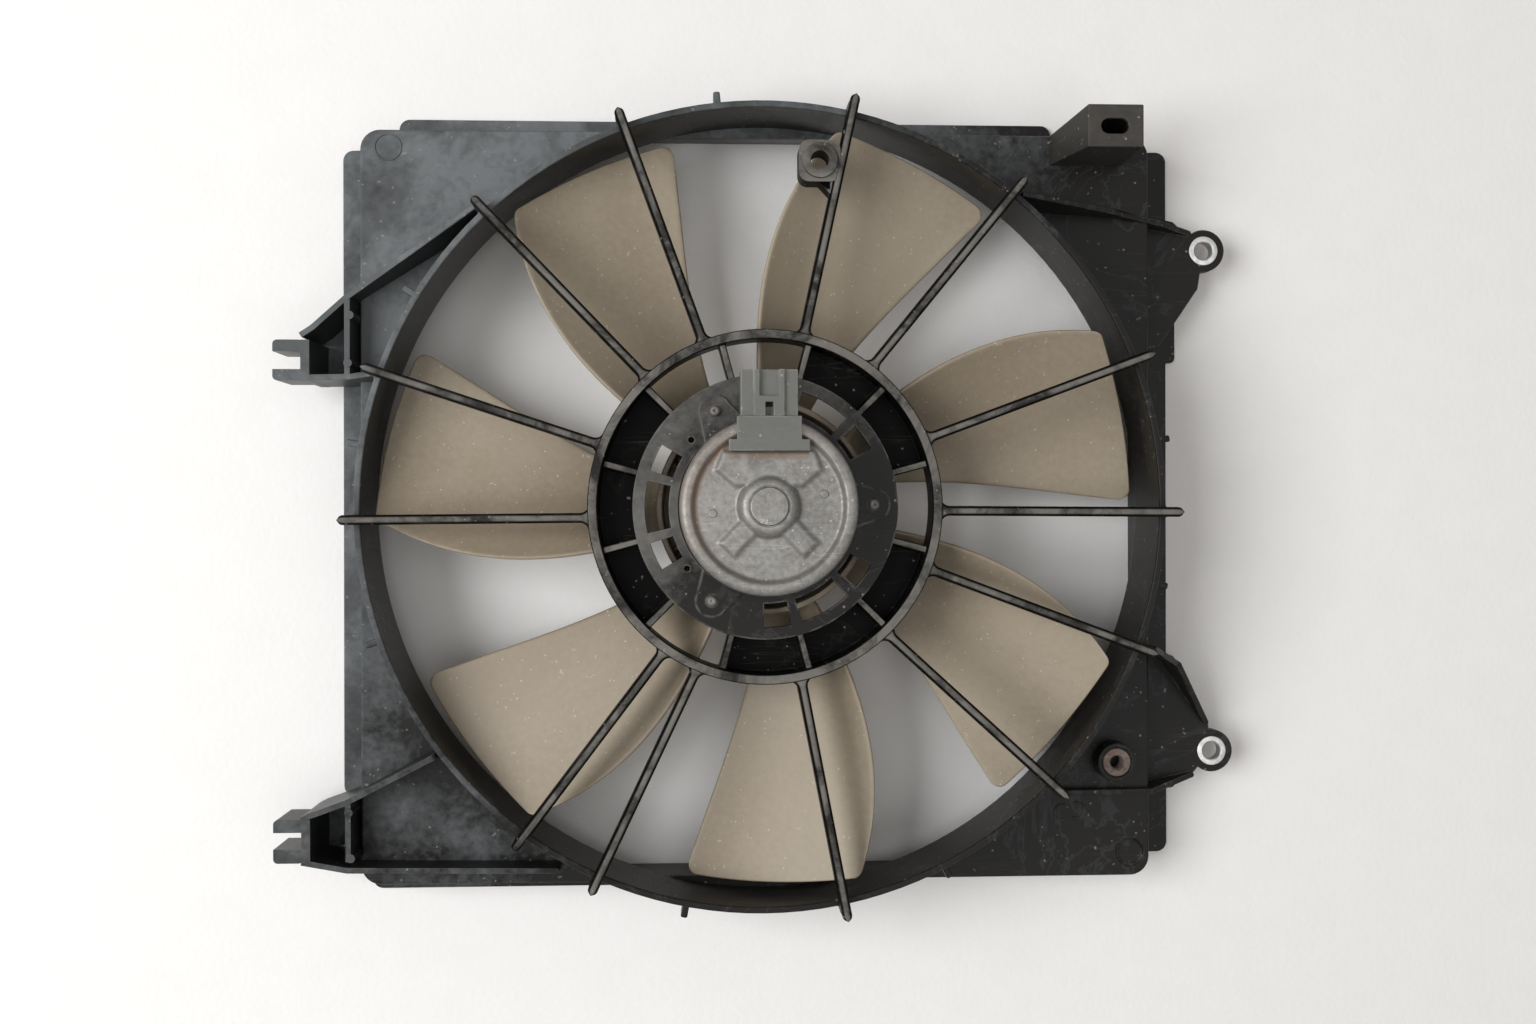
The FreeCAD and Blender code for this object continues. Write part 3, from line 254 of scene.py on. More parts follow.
class Wire:
    """An output of a node; a sum, product or step of it adds a node to its tree."""

    def __init__(self, pen: "NodePen", socket: bpy.types.NodeSocket) -> None:
        """Keeps the socket and the pen that writes its tree."""
        self.pen = pen
        self.socket = socket

    def __add__(self, other: object) -> "Wire":
        """Adds a number or an output."""
        return self.pen.math("ADD", self, other)

    def __sub__(self, other: object) -> "Wire":
        """Takes away a number or an output."""
        return self.pen.math("SUBTRACT", self, other)

    def __rsub__(self, other: float) -> "Wire":
        """Takes this output away from a number."""
        return self.pen.math("SUBTRACT", other, self)

    def __mul__(self, other: object) -> "Wire":
        """Multiplies by a number or an output."""
        return self.pen.math("MULTIPLY", self, other)

    def __truediv__(self, other: object) -> "Wire":
        """Divides by a number or an output."""
        return self.pen.math("DIVIDE", self, other)

    def __abs__(self) -> "Wire":
        """Drops the sign."""
        return self.pen.math("ABSOLUTE", self)

    def higher(self, other: object) -> "Wire":
        """Gives the higher of this output and another one or a number."""
        return self.pen.math("MAXIMUM", self, other)

    def root(self) -> "Wire":
        """Gives the square root."""
        return self.pen.math("SQRT", self)

    def clamped(self) -> "Wire":
        """Keeps the result of the Math node that it comes from between 0 and 1."""
        self.socket.node.use_clamp = True
        return self

    def step(self, low: float, high: float, start: float = 0.0, end: float = 1.0) -> "Wire":
        """Adds a smooth step between two limits.

        Args:
            low: Value where the step starts.
            high: Value where it ends.
            start: Result at its start.
            end: Result at its end.

        Returns:
            The step's output.
        """
        inputs = {"Value": self, "From Min": low, "From Max": high, "To Min": start, "To Max": end}
        form = {"interpolation_type": "SMOOTHSTEP", "clamp": True}
        return self.pen.out("ShaderNodeMapRange", inputs, "Result", **form)

    def axis(self, name: str) -> "Wire":
        """Gives one part of a vector, X, Y or Z."""
        return self.pen.out("ShaderNodeSeparateXYZ", {0: self}, name)


class NodePen:
    """Adds nodes to one node tree and joins them."""

    def __init__(self, tree: bpy.types.NodeTree) -> None:
        """Keeps the tree that gets the nodes."""
        self.tree = tree

    def feed(self, socket: bpy.types.NodeSocket, value: object) -> None:
        """Links an output to an input, or sets the input's value.

        Args:
            socket: Input of a node.
            value: Output, plain value, or None to leave the input as it is.
        """
        if isinstance(value, Wire):
            self.tree.links.new(value.socket, socket)
        elif value is not None:
            socket.default_value = value

    def node(self, kind: str, inputs: Optional[dict] = None, **settings: object) -> bpy.types.Node:
        """Adds a node.

        Args:
            kind: Blender's name of the node type.
            inputs: Values or outputs by input name or number.
            settings: Properties of the node.

        Returns:
            The node.
        """
        made = self.tree.nodes.new(kind)
        for label, value in settings.items():
            setattr(made, label, value)
        for key, value in (inputs or {}).items():
            self.feed(made.inputs[key], value)
        return made

    def out(self, kind: str, inputs: Optional[dict] = None, name: object = 0, **settings: object) -> Wire:
        """Adds a node and gives one of its outputs, by name or number."""
        return Wire(self, self.node(kind, inputs, **settings).outputs[name])

    def math(self, operation: str, first: object, second: object = None) -> Wire:
        """Adds a Math node and gives its output."""
        return self.out("ShaderNodeMath", {0: first, 1: second}, operation=operation)

    def vector(self, operation: str, first: object, second: object = None, name: str = "Vector") -> Wire:
        """Adds a Vector Math node and gives one of its outputs."""
        return self.out("ShaderNodeVectorMath", {0: first, 1: second}, name, operation=operation)


class ShaderPen(NodePen):
    """Adds shader nodes whose patterns read one set of coordinates, its place."""

    place: Wire

    def mix(self, share: Wire, first: object, second: object) -> Wire:
        """Adds a mix of two colours.

        Args:
            share: Share of the second colour.
            first: Output, or a plain colour of three numbers.
            second: The same.

        Returns:
            The mixed colour.
        """
        made = self.node("ShaderNodeMix", data_type="RGBA")
        for index, value in ((0, share), (6, first), (7, second)):
            self.feed(made.inputs[index], (*value, 1.0) if isinstance(value, tuple) else value)
        return Wire(self, made.outputs[2])

    def layers(self, colour: object, *coats: tuple[Wire, Triple]) -> Wire:
        """Lays colours over a first one.

        Args:
            colour: Lowest colour.
            coats: Share and colour of each layer, from the lowest up.

        Returns:
            The colour that shows.
        """
        for share, over in coats:
            colour = self.mix(share, colour, over)
        return colour

    def noise(
        self,
        scale: object,
        detail: float = 4.0,
        rough: float = 0.55,
        bend: float = 0.0,
        at: Optional[Wire] = None,
    ) -> Wire:
        """Adds a noise texture and gives its value."""
        shape = {"Scale": scale, "Detail": detail, "Roughness": rough, "Distortion": bend}
        return self.out("ShaderNodeTexNoise", {"Vector": at or self.place, **shape}, "Fac")

    def normal(self) -> Wire:
        """Gives the normal of the shaded face."""
        return self.out("ShaderNodeNewGeometry", name="Normal")

    def reach(self) -> Wire:
        """Gives the distance from the Z axis."""
        return self.vector("LENGTH", self.vector("MULTIPLY", self.place, (1.0, 1.0, 0.0)), name="Value")

    def effect(self, name: str, **values: object) -> dict[str, Wire]:
        """Places a shared effect at this pen's coordinates.

        Args:
            name: Name of the effect.
            values: Values of its inputs.

        Returns:
            The effect's outputs by name.
        """
        inputs = {"Vector": self.place, **values}
        made = self.node("ShaderNodeGroup", inputs, node_tree=Effects.get(name).tree)
        return {socket.name: Wire(self, socket) for socket in made.outputs}


class Group(NodePen):
    """A node group with named inputs and outputs."""

    def __init__(self, kind: str, name: str, inputs: Sockets, outputs: dict[str, str]) -> None:
        """Starts a group.

        Args:
            kind: Blender's name of the tree type.
            name: Name of the group.
            inputs: Kind of socket and default of each input.
            outputs: Kind of socket of each output.
        """
        super().__init__(bpy.data.node_groups.new(name, kind))
        face = self.tree.interface
        self.sockets: dict[str, str] = {}
        for label, (sort, value) in inputs.items():
            made = face.new_socket(label, in_out="INPUT", socket_type="NodeSocket" + sort)
            self.sockets[label] = made.identifier
            if value is not None:
                made.default_value = value
        for label, sort in outputs.items():
            face.new_socket(label, in_out="OUTPUT", socket_type="NodeSocket" + sort)
        self.source = self.tree.nodes.new("NodeGroupInput")
        self.target = self.tree.nodes.new("NodeGroupOutput")

    def __getitem__(self, label: str) -> Wire:
        """Gives an input of the group."""
        return Wire(self, self.source.outputs[label])

    def __setitem__(self, label: str, value: Wire) -> None:
        """Joins a value to an output of the group."""
        self.feed(self.target.inputs[label], value)


class ShaderGroup(Group, ShaderPen):
    """A shader group that reads coordinates and numbers, and puts out numbers."""

    def __init__(self, name: str, inputs: dict[str, float], outputs: Iterable[str]) -> None:
        """Starts a group.

        Args:
            name: Name of the group.
            inputs: Default of each number input.
            outputs: Names of the outputs.
        """
        numbers = {label: ("Float", value) for label, value in inputs.items()}
        sockets = {"Vector": ("Vector", None), **numbers}
        super().__init__("ShaderNodeTree", name, sockets, {label: "Float" for label in outputs})
        self.place = self["Vector"]


class GeometryTree(Group):
    """A Geometry Nodes tree with named inputs, which gives its result a material."""

    def __init__(self, name: str, inputs: Sockets) -> None:
        """Starts a tree.

        Args:
            name: Name of the tree.
            inputs: Kind of socket and default of each input beside geometry and material.
        """
        sockets = {"Geometry": ("Geometry", None), **inputs, "Material": ("Material", None)}
        super().__init__("GeometryNodeTree", name, sockets, {"Geometry": "Geometry"})

    def end(self, geometry: Wire) -> "GeometryTree":
        """Closes the tree: instances become real, and the material is set.

        Args:
            geometry: What the tree has made.

        Returns:
            The tree.
        """
        real = self.out("GeometryNodeRealizeInstances", {0: geometry})
        inputs = {"Geometry": real, "Material": self["Material"]}
        self["Geometry"] = self.out("GeometryNodeSetMaterial", inputs)
        return self

    def run(self, base: bpy.types.Object, values: dict[str, object], name: str) -> bpy.types.Object:
        """Runs the tree on an object and keeps the result as a plain mesh.

        Args:
            base: Object whose mesh enters the tree; it is removed.
            values: Value of each named input.
            name: Name of the piece that comes out.

        Returns:
            The finished piece.
        """
        modifier = base.modifiers.new("made", "NODES")
        modifier.node_group = self.tree
        for label, value in values.items():
            modifier[self.sockets[label]] = value
        return settled(base, name)


class Library:
    """Node groups made by static methods, each built when it is first asked for."""

    made: dict[str, Group] = {}

    @classmethod
    def get(cls, name: str) -> Group:
        """Gives a group by the name of its method.

        Args:
            name: Name of the method.

        Returns:
            The group.
        """
        if name not in cls.made:
            cls.made[name] = getattr(cls, name)()
        return cls.made[name]


class Effects(Library):
    """Shader node groups that several finishes share."""

    @staticmethod
    def dust() -> ShaderGroup:
        """Film and specks of dust that settle on faces that look up.

        Returns:
            The group.
        """
        t = ShaderGroup("dust", {"Cover": 0.5, "Clouds": 18.0, "Fineness": 420.0}, ("Film", "Specks"))
        cloud = t.noise(t["Clouds"], 6, 0.62, 0.4) * 0.72 + t.noise(260.0, 3, 0.6) * 0.28
        film = ((cloud - (0.95 - t["Cover"])) * 3.0).clamped()
        t["Film"] = film * t.normal().axis("Z").step(0.05, 0.9, 0.25, 1.0)
        cells = t.out("ShaderNodeTexVoronoi", {"Vector": t.place, "Scale": t["Fineness"]}, "Distance")
        t["Specks"] = cells.step(0.30, 0.16) * t.noise(240.0, 1, 0.5).step(0.62, 0.66)
        return t

    @staticmethod
    def edge_wear() -> ShaderGroup:
        """Mask along convex edges, broken up by noise.

        Returns:
            The group.
        """
        t = ShaderGroup("edge_wear", {"Radius": 0.9 * MM, "Amount": 1.0}, ("Mask",))
        rounded = t.out("ShaderNodeBevel", {"Radius": t["Radius"]}, "Normal", samples=4)
        same = t.vector("DOT_PRODUCT", rounded, t.normal(), "Value")
        patch = t.noise(90.0, 5, 0.65).step(0.40, 0.62)
        t["Mask"] = (same.step(0.985, 0.82) * patch * t["Amount"]).clamped()
        return t

    @staticmethod
    def scratches() -> ShaderGroup:
        """Fine broken lines in three directions.

        Returns:
            The group.
        """
        t = ShaderGroup("scratches", {"Density": 0.5}, ("Mask",))
        total = None
        for turn, stretch, low in ((0.5, 260.0, 0.42), (-0.9, 330.0, 0.5), (1.9, 210.0, 0.55)):
            along = {"Vector": t.place, "Rotation": (0, 0, turn), "Scale": (9.0, stretch, 9.0)}
            place = t.out("ShaderNodeMapping", along)
            line = abs(t.noise(1.0, 2, 0.5, 0.15, place) - 0.5).step(0.012, 0.002)
            stroke = line * t.noise(0.16, 2, 0.5, at=place).step(low + 0.08, low + 0.16)
            total = total.higher(stroke) if total else stroke
        t["Mask"] = (total * t["Density"]).clamped()
        return t

    @staticmethod
    def stains() -> ShaderGroup:
        """Soft patches and the thin edges that dried water leaves.

        Returns:
            The group.
        """
        t = ShaderGroup("stains", {"Scale": 14.0}, ("Patch", "Tide"))
        wave = t.noise(t["Scale"], 5, 0.6, 1.6)
        t["Patch"] = wave.step(0.38, 0.64)
        t["Tide"] = abs(wave - 0.53).step(0.018, 0.002)
        return t

    @staticmethod
    def grain() -> ShaderGroup:
        """Height of a fine surface texture with a slight waviness.

        Returns:
            The group.
        """
        t = ShaderGroup("grain", {"Scale": 900.0}, ("Height",))
        t["Height"] = t.noise(t["Scale"], 3, 0.6) * 0.35 + t.noise(45.0, 2, 0.5)
        return t

    @staticmethod
    def sunward() -> ShaderGroup:
        """Share that grows along a direction towards the lit side, where dust lies heavier and light is
        painted; the far side gets painted shade.

        Returns:
            The group.
        """
        t = ShaderGroup("sunward", {"Across": -0.8, "Along": 0.6, "Reach": 0.35}, ("Share",))
        slope = t.place.axis("X") * t["Across"] + t.place.axis("Y") * t["Along"]
        t["Share"] = (slope / t["Reach"] + 0.5).clamped()
        return t


class Trees(Library):
    """Geometry Nodes trees of this part."""

    @staticmethod
    def round_the_axis() -> GeometryTree:
        """Copies of the entering mesh, evenly turned about the Z axis.

        Returns:
            The tree.
        """
        g = GeometryTree("round_the_axis", {"Count": ("Int", 7)})
        turn = g.out("GeometryNodeInputIndex") * FULL_TURN / g["Count"]
        inputs = {
            "Points": g.out("GeometryNodePoints", {"Count": g["Count"]}),
            "Instance": g["Geometry"],
            "Rotation": g.out("ShaderNodeCombineXYZ", {"Z": turn}),
        }
        return g.end(g.out("GeometryNodeInstanceOnPoints", inputs))

    @staticmethod
    def at_each_point() -> GeometryTree:
        """A copy of another object at each point of the entering mesh.

        Returns:
            The tree.
        """
        g = GeometryTree("at_each_point", {"Piece": ("Object", None)})
        piece = g.out("GeometryNodeObjectInfo", {"Object": g["Piece"]}, "Geometry")
        return g.end(g.out("GeometryNodeInstanceOnPoints", {"Points": g["Geometry"], "Instance": piece}))

    @staticmethod
    def coil() -> GeometryTree:
        """Round wire wound in a helix up the Z axis.

        Returns:
            The tree.
        """
        sizes = {"Turns": 6.0, "Radius": 2 * MM, "Height": 8 * MM, "Wire": 0.4 * MM}
        g = GeometryTree("coil", {label: ("Float", size) for label, size in sizes.items()})
        inputs = {
            "Resolution": 24,
            "Rotations": g["Turns"],
            "Start Radius": g["Radius"],
            "End Radius": g["Radius"],
            "Height": g["Height"],
        }
        helix = g.out("GeometryNodeCurveSpiral", inputs)
        wire = g.out("GeometryNodeCurvePrimitiveCircle", {"Resolution": 8, "Radius": g["Wire"]})
        return g.end(g.out("GeometryNodeCurveToMesh", {0: helix, 1: wire, "Fill Caps": True}))

    @staticmethod
    def guard_bars() -> GeometryTree:
        """Rounded bars along the edges of the entering mesh, from the hub ring to their tips.

        Returns:
            The tree.
        """
        sizes = {"Width": 4.3 * MM, "Height": 13 * MM, "Rounding": 1.9 * MM, "Flare": 4 * MM}
        g = GeometryTree("guard_bars", {label: ("Float", size) for label, size in sizes.items()})
        width, flare = g["Width"], g["Flare"]
        rails = g.out("GeometryNodeMeshToCurve", {0: g["Geometry"]})
        rails = g.out("GeometryNodeResampleCurve", {"Curve": rails, "Length": 0.8 * MM}, mode="LENGTH")
        kept = g.node("GeometryNodeCaptureAttribute", {0: rails}, domain="POINT")
        for label, kind, value in (
            ("along", "FLOAT", g.out("GeometryNodeSplineParameter", name="Length")),
            ("whole", "FLOAT", g.out("GeometryNodeSplineLength", name="Length")),
            ("tangent", "VECTOR", g.out("GeometryNodeInputTangent")),
            ("centre", "VECTOR", g.out("GeometryNodeInputPosition")),
        ):
            kept.capture_items.new(kind, label)
            g.feed(kept.inputs[label], value)
        labels = ("along", "whole", "tangent", "centre")
        along, whole, tangent, centre = (Wire(g, kept.outputs[label]) for label in labels)
        section = g.out("GeometryNodeCurvePrimitiveQuadrilateral", {"Width": width, "Height": g["Height"]})
        rounding = {"Curve": section, "Count": 5, "Radius": g["Rounding"], "Limit Radius": True}
        section = g.out("GeometryNodeFilletCurve", rounding, mode="POLY")
        flat = g.out("GeometryNodeSetCurveNormal", {"Curve": Wire(g, kept.outputs[0])}, mode="Z_UP")
        bars = g.out("GeometryNodeCurveToMesh", {0: flat, 1: section, "Fill Caps": True})
        side = g.vector("NORMALIZE", g.vector("CROSS_PRODUCT", tangent, (0.0, 0.0, 1.0)))
        off = g.vector("SUBTRACT", g.out("GeometryNodeInputPosition"), centre)
        lateral = g.vector("DOT_PRODUCT", off, side, "Value")
        left = (flare - along).higher(0.0)
        widening = flare - (flare * flare - left * left).higher(0.0).root()
        half = width * 0.5
        near_tip = (half - (whole - along)).higher(0.0) / half
        tip = (1.0 - near_tip * near_tip).higher(0.02).root()
        scale = (widening / half + 1.0) * tip - 1.0
        shift = g.out("ShaderNodeVectorMath", {0: side, "Scale": lateral * scale}, operation="SCALE")
        return g.end(g.out("GeometryNodeSetPosition", {"Geometry": bars, "Offset": shift}))


# Finishes


class Coat(ShaderPen):
    """A material's own tree, whose patterns read Object coordinates."""

    def __init__(self, name: str) -> None:
        """Makes the material.

        Args:
            name: Name of the material.
        """
        self.material = bpy.data.materials.new(name)
        self.material.use_nodes = True
        super().__init__(self.material.node_tree)
        self.shader = next(n for n in self.tree.nodes if n.type == "BSDF_PRINCIPLED")
        self.place = self.out("ShaderNodeTexCoord", name="Object")

    def __setitem__(self, label: str, value: object) -> None:
        """Feeds an input of the shader."""
        self.feed(self.shader.inputs[label], value)

    def relief(self, height: Wire, depth: float, strength: float = 1.0, soft: float = 0.5 * MM) -> None:
        """Makes the surface look raised.

        Args:
            height: Pattern of the relief.
            depth: Its depth.
            strength: Share of the relief that shows.
            soft: Radius of the rounding that sharp edges seem to have, or 0 for none.
        """
        inputs = {"Height": height, "Distance": depth, "Strength": strength}
        if soft:
            inputs["Normal"] = self.out("ShaderNodeBevel", {"Radius": soft}, "Normal", samples=4)
        self["Normal"] = self.out("ShaderNodeBump", inputs, "Normal")


FINISHED: dict[str, bpy.types.Material] = {}


class Finish:
    """A surface finish; each kind says how its colour, roughness and relief are made."""

    name: str

    def material(self) -> bpy.types.Material:
        """Gives the finish's material and builds it the first time.

        Returns:
            The material.
        """
        if self.name not in FINISHED:
            coat = Coat(self.name)
            FINISHED[self.name] = coat.material
            self.paint(coat)
        return FINISHED[self.name]

    def paint(self, t: Coat) -> None:
        """Builds the nodes behind the shader."""
        raise NotImplementedError


@dataclass(frozen=True)
class MouldedPlastic(Finish):
    """Dark moulded plastic under road dust, with scuffs and worn edges; the dust film also paints light on
    the lit side and is cleared to painted shade in deep pockets, and the pale bar tops are partly painted
    highlight.
    """

    name: str
    base: Triple
    film: Triple
    worn: Triple
    cover: float = 0.5
    slope: float = 0.25
    sheen_rough: float = 0.36
    dusty_rough: float = 0.62
    wear: float = 0.8
    wear_reach: float = 0.9 * MM
    lines: float = 0.5
    specks: float = 0.5
    crown_wear_and_highlight: float = 0.0
    shine: float = 0.22
    shade_below: float = -10 * MM
    shade_fade: float = 6 * MM
    speck: Triple = (0.42, 0.40, 0.36)
    depth: float = 0.06 * MM

    def raised(self, t: Coat) -> Wire:
        """Share that fades out in the deep pockets below a height, clearing the dust film there as painted
        shade.
        """
        return t.place.axis("Z").step(self.shade_below, self.shade_below + self.shade_fade)

    def rubbed_and_highlit(self, t: Coat) -> Wire:
        """Broken pale streaks along the up-facing tops of rounded bars: wear, and also a painted highlight.
        """
        streak = t.noise(38.0, 6, 0.7, 0.6).step(0.34, 0.60, 0.12, 1.0)
        return t.normal().axis("Z").step(0.80, 0.99) * streak * self.raised(t) * self.crown_wear_and_highlight

    def paint(self, t: Coat) -> None:
        """Builds the dusty plastic.

        Args:
            t: Tree that gets the nodes.
        """
        # The lit side sets the dust cover: the film is dust and painted light, heavier on the lit side, with
        # painted shade on the far side.
        side = t.effect("sunward")["Share"]
        dust = t.effect("dust", Cover=side * self.slope + (self.cover - self.slope / 2))
        stains = t.effect("stains")
        lines = t.effect("scratches", Density=self.lines)["Mask"]
        # Below the pocket height the film is cleared, leaving painted shade in deep pockets.
        film = dust["Film"] * stains["Patch"].step(0.0, 1.0, 1.0, 0.55) * (self.raised(t) * 0.9 + 0.1)
        coats = [
            (stains["Tide"] * 0.09, self.film),
            (lines * 0.22, self.worn),
            (t.effect("edge_wear", Radius=self.wear_reach, Amount=self.wear)["Mask"], self.worn),
            (dust["Specks"] * self.specks, self.speck),
        ]
        if self.crown_wear_and_highlight:
            # Pale bar tops: wear and a painted highlight.
            coats.insert(3, (self.rubbed_and_highlit(t), self.worn))
        t["Base Color"] = t.layers(t.mix(film, self.base, self.film), *coats)
        t["Specular IOR Level"] = self.shine
        t["Roughness"] = film.step(0.0, 0.8, self.sheen_rough, self.dusty_rough) + lines * 0.15
        t.relief(t.effect("grain")["Height"] - lines * 0.3, self.depth)


@dataclass(frozen=True)
class BladePlastic(Finish):
    """Cloudy beige plastic, dustier towards the hub, with fine pale specks."""

    name: str
    base: Triple
    shade: Triple
    grime: Triple
    speck: Triple = (0.62, 0.58, 0.50)
    edge: Triple = (0.60, 0.55, 0.47)
    hub_reach: float = 48 * MM
    tip_reach: float = 150 * MM
    depth: float = 0.05 * MM

    def paint(self, t: Coat) -> None:
        """Builds the blade plastic.

        Args:
            t: Tree that gets the nodes.
        """
        inner = t.reach().step(self.hub_reach, self.tip_reach, 1.0, 0.0)
        cloud = t.noise(8.0, 3, 0.45, 0.4)
        tone = cloud * 0.75 + t.noise(320.0, 3, 0.6) * 0.25
        t["Base Color"] = t.layers(
            t.mix(tone.step(0.34, 0.66), self.shade, self.base),
            (inner * cloud.step(0.36, 0.64, 0.03, 0.32), self.grime),
            (t.effect("stains", Scale=22.0)["Tide"] * 0.07, self.grime),
            (t.effect("dust", Cover=0.35, Fineness=560.0)["Specks"] * 0.55, self.speck),
            (t.effect("edge_wear", Radius=0.7 * MM, Amount=0.7)["Mask"], self.edge),
        )
        t["Roughness"] = tone.step(0.3, 0.7, 0.42, 0.58)
        t.relief(t.effect("grain", Scale=700.0)["Height"], self.depth)


@dataclass(frozen=True)
class PlatedSteel(Finish):
    """Dull plated steel with fine mottling, a dust film and a rust tint; on the can the rust colour also
    paints the shadow under the connector holder.
    """

    name: str
    base: Triple
    dark: Triple
    metal: float = 0.6
    rough: float = 0.5
    rusting: float = 0.2
    rust_ring_and_shadow: bool = False
    rust: Triple = (0.17, 0.10, 0.06)
    line: Triple = (0.55, 0.54, 0.52)
    dust: Triple = (0.24, 0.22, 0.19)
    speck: Triple = (0.62, 0.60, 0.56)
    edge: Triple = (0.58, 0.57, 0.55)
    rim: float = 30.6 * MM
    foot: float = 20.8 * MM
    foot_half: float = 18 * MM
    depth: float = 0.05 * MM

    def rust_and_shadow_share(self, t: Coat) -> Wire:
        """Rust that follows the can's sunk rim, heavier on the left, and a painted shadow in the rust colour
        under the holder's foot.

        Args:
            t: Tree that gets the nodes.

        Returns:
            The share of rust and painted shadow.
        """
        across, along, reach = t.place.axis("X"), t.place.axis("Y"), t.reach()
        rim = abs(reach - self.rim).step(2.6 * MM, 0.2 * MM)
        left = (along - across).step(-10 * MM, 34 * MM, 0.12, 1.0)
        # Painted shadow under the holder's foot, in the rust colour.
        foot = abs(along - self.foot).step(2.6 * MM, 0.4 * MM)
        foot = foot * abs(across).step(self.foot_half, self.foot_half - 2.5 * MM)
        broad = reach.step(24 * MM, 34 * MM, 0.0, 0.35)
        return (rim.higher(broad) * left).higher(foot * 0.85)

    def paint(self, t: Coat) -> None:
        """Builds the plated steel.

        Args:
            t: Tree that gets the nodes.
        """
        tone = t.noise(420.0, 4, 0.65) * 0.5 + t.noise(40.0, 5, 0.6, 0.6) * 0.5
        share = t.noise(120.0, 5, 0.65, 0.5).step(0.42, 0.68) * self.rusting
        if self.rust_ring_and_shadow:
            broken = t.noise(150.0, 5, 0.6, 0.4).step(0.25, 0.6, 0.35, 1.0)
            share = share.higher(self.rust_and_shadow_share(t) * broken)
        dust = t.effect("dust", Cover=0.4, Fineness=500.0)
        t["Base Color"] = t.layers(
            t.mix(tone.step(0.36, 0.62), self.dark, self.base),
            (share * 0.8, self.rust),
            (t.effect("scratches", Density=0.5)["Mask"] * 0.35, self.line),
            (dust["Film"] * 0.25, self.dust),
            (dust["Specks"] * 0.35, self.speck),
            (t.effect("edge_wear", Radius=0.8 * MM, Amount=0.6)["Mask"], self.edge),
        )
        t["Metallic"] = share.step(0.0, 0.7, self.metal, self.metal * 0.25)
        t["Roughness"] = tone.step(0.3, 0.7, self.rough + 0.08, self.rough - 0.08)
        t.relief(t.effect("grain", Scale=1100.0)["Height"], self.depth)


# Pale bluish dust film that also paints sheen, heavier towards the lit upper left; the far side is left dark
# as painted shade.
SHROUD = MouldedPlastic(
    "dusty_black_plastic", (0.008, 0.0072, 0.0065), (0.158, 0.170, 0.176), (0.13, 0.125, 0.115),
    cover=0.47, slope=0.56, shine=0.14, specks=0.35,
)
# Pale bar tops that are wear and painted highlight; below 70 mm the dust film is cleared to paint shade in
# the hub ring's pockets.
GUARD = MouldedPlastic(
    "worn_black_plastic", (0.003, 0.003, 0.0028), (0.060, 0.057, 0.052), (0.185, 0.176, 0.160),
    cover=0.40, slope=0.2, crown_wear_and_highlight=0.95, shine=0.03, specks=0.3, shade_below=70 * MM,
)
BRACKET = MouldedPlastic(
    "dusty_bracket_plastic", (0.022, 0.020, 0.018), (0.072, 0.066, 0.058), (0.16, 0.15, 0.135),
    cover=0.62, slope=0.0, shine=0.2,
)
# Dust film much heavier on the lit upper left, painting light there and shade on the far side; the wide worn
# edges also paint highlights on the raised pads.
DISC = MouldedPlastic(
    "disc_plastic", (0.009, 0.0082, 0.0075), (0.170, 0.165, 0.154), (0.16, 0.155, 0.145),
    cover=0.50, slope=0.9, wear=1.3, wear_reach=1.5 * MM, shine=0.14,
)
# Widened worn edges that also paint highlights on the raised ridges.
CONNECTOR = MouldedPlastic(
    "grey_socket_plastic", (0.110, 0.113, 0.102), (0.158, 0.157, 0.142), (0.33, 0.33, 0.30),
    cover=0.55, slope=0.0, sheen_rough=0.45, wear=1.1, wear_reach=1.1 * MM, lines=0.3, shine=0.4,
)
BRUSH_CARD = MouldedPlastic(
    "brown_card_plastic", (0.045, 0.026, 0.014), (0.08, 0.055, 0.035), (0.12, 0.09, 0.06),
    cover=0.3, slope=0.0,
)
BLADE = BladePlastic("blade_plastic", (0.358, 0.304, 0.226), (0.268, 0.217, 0.153), (0.165, 0.117, 0.075))
ZINC = PlatedSteel("zinc_plate", (0.225, 0.218, 0.204), (0.140, 0.136, 0.127), 0.55, 0.5, 0.12, True)
BRIGHT = PlatedSteel("bright_plate", (0.52, 0.52, 0.51), (0.36, 0.36, 0.35), 0.85, 0.36, 0.1)
DULL = PlatedSteel("dull_screw", (0.17, 0.165, 0.155), (0.10, 0.095, 0.088), 0.5, 0.55, 0.3)
RUSTY = PlatedSteel("rusted_steel", (0.15, 0.115, 0.10), (0.07, 0.045, 0.035), 0.3, 0.62, 0.9)
GROUND = PlatedSteel("ground_steel", (0.55, 0.55, 0.56), (0.42, 0.42, 0.43), 0.95, 0.3, 0.0)
SHEETS = PlatedSteel("core_sheets", (0.26, 0.26, 0.27), (0.16, 0.16, 0.165), 0.8, 0.45, 0.15)
BRONZE = PlatedSteel("sintered_bronze", (0.45, 0.30, 0.15), (0.28, 0.18, 0.09), 0.8, 0.5, 0.0)
COPPER = PlatedSteel("lacquered_copper", (0.58, 0.26, 0.12), (0.36, 0.14, 0.06), 0.9, 0.35, 0.0)
TINNED = PlatedSteel("tinned_terminal", (0.62, 0.60, 0.54), (0.46, 0.44, 0.38), 0.9, 0.35, 0.0)
FERRITE = PlatedSteel("grey_ferrite", (0.05, 0.05, 0.052), (0.03, 0.03, 0.031), 0.1, 0.6, 0.0)
CARBON = PlatedSteel("black_carbon", (0.03, 0.03, 0.03), (0.018, 0.018, 0.018), 0.2, 0.5, 0.0)


# Studio


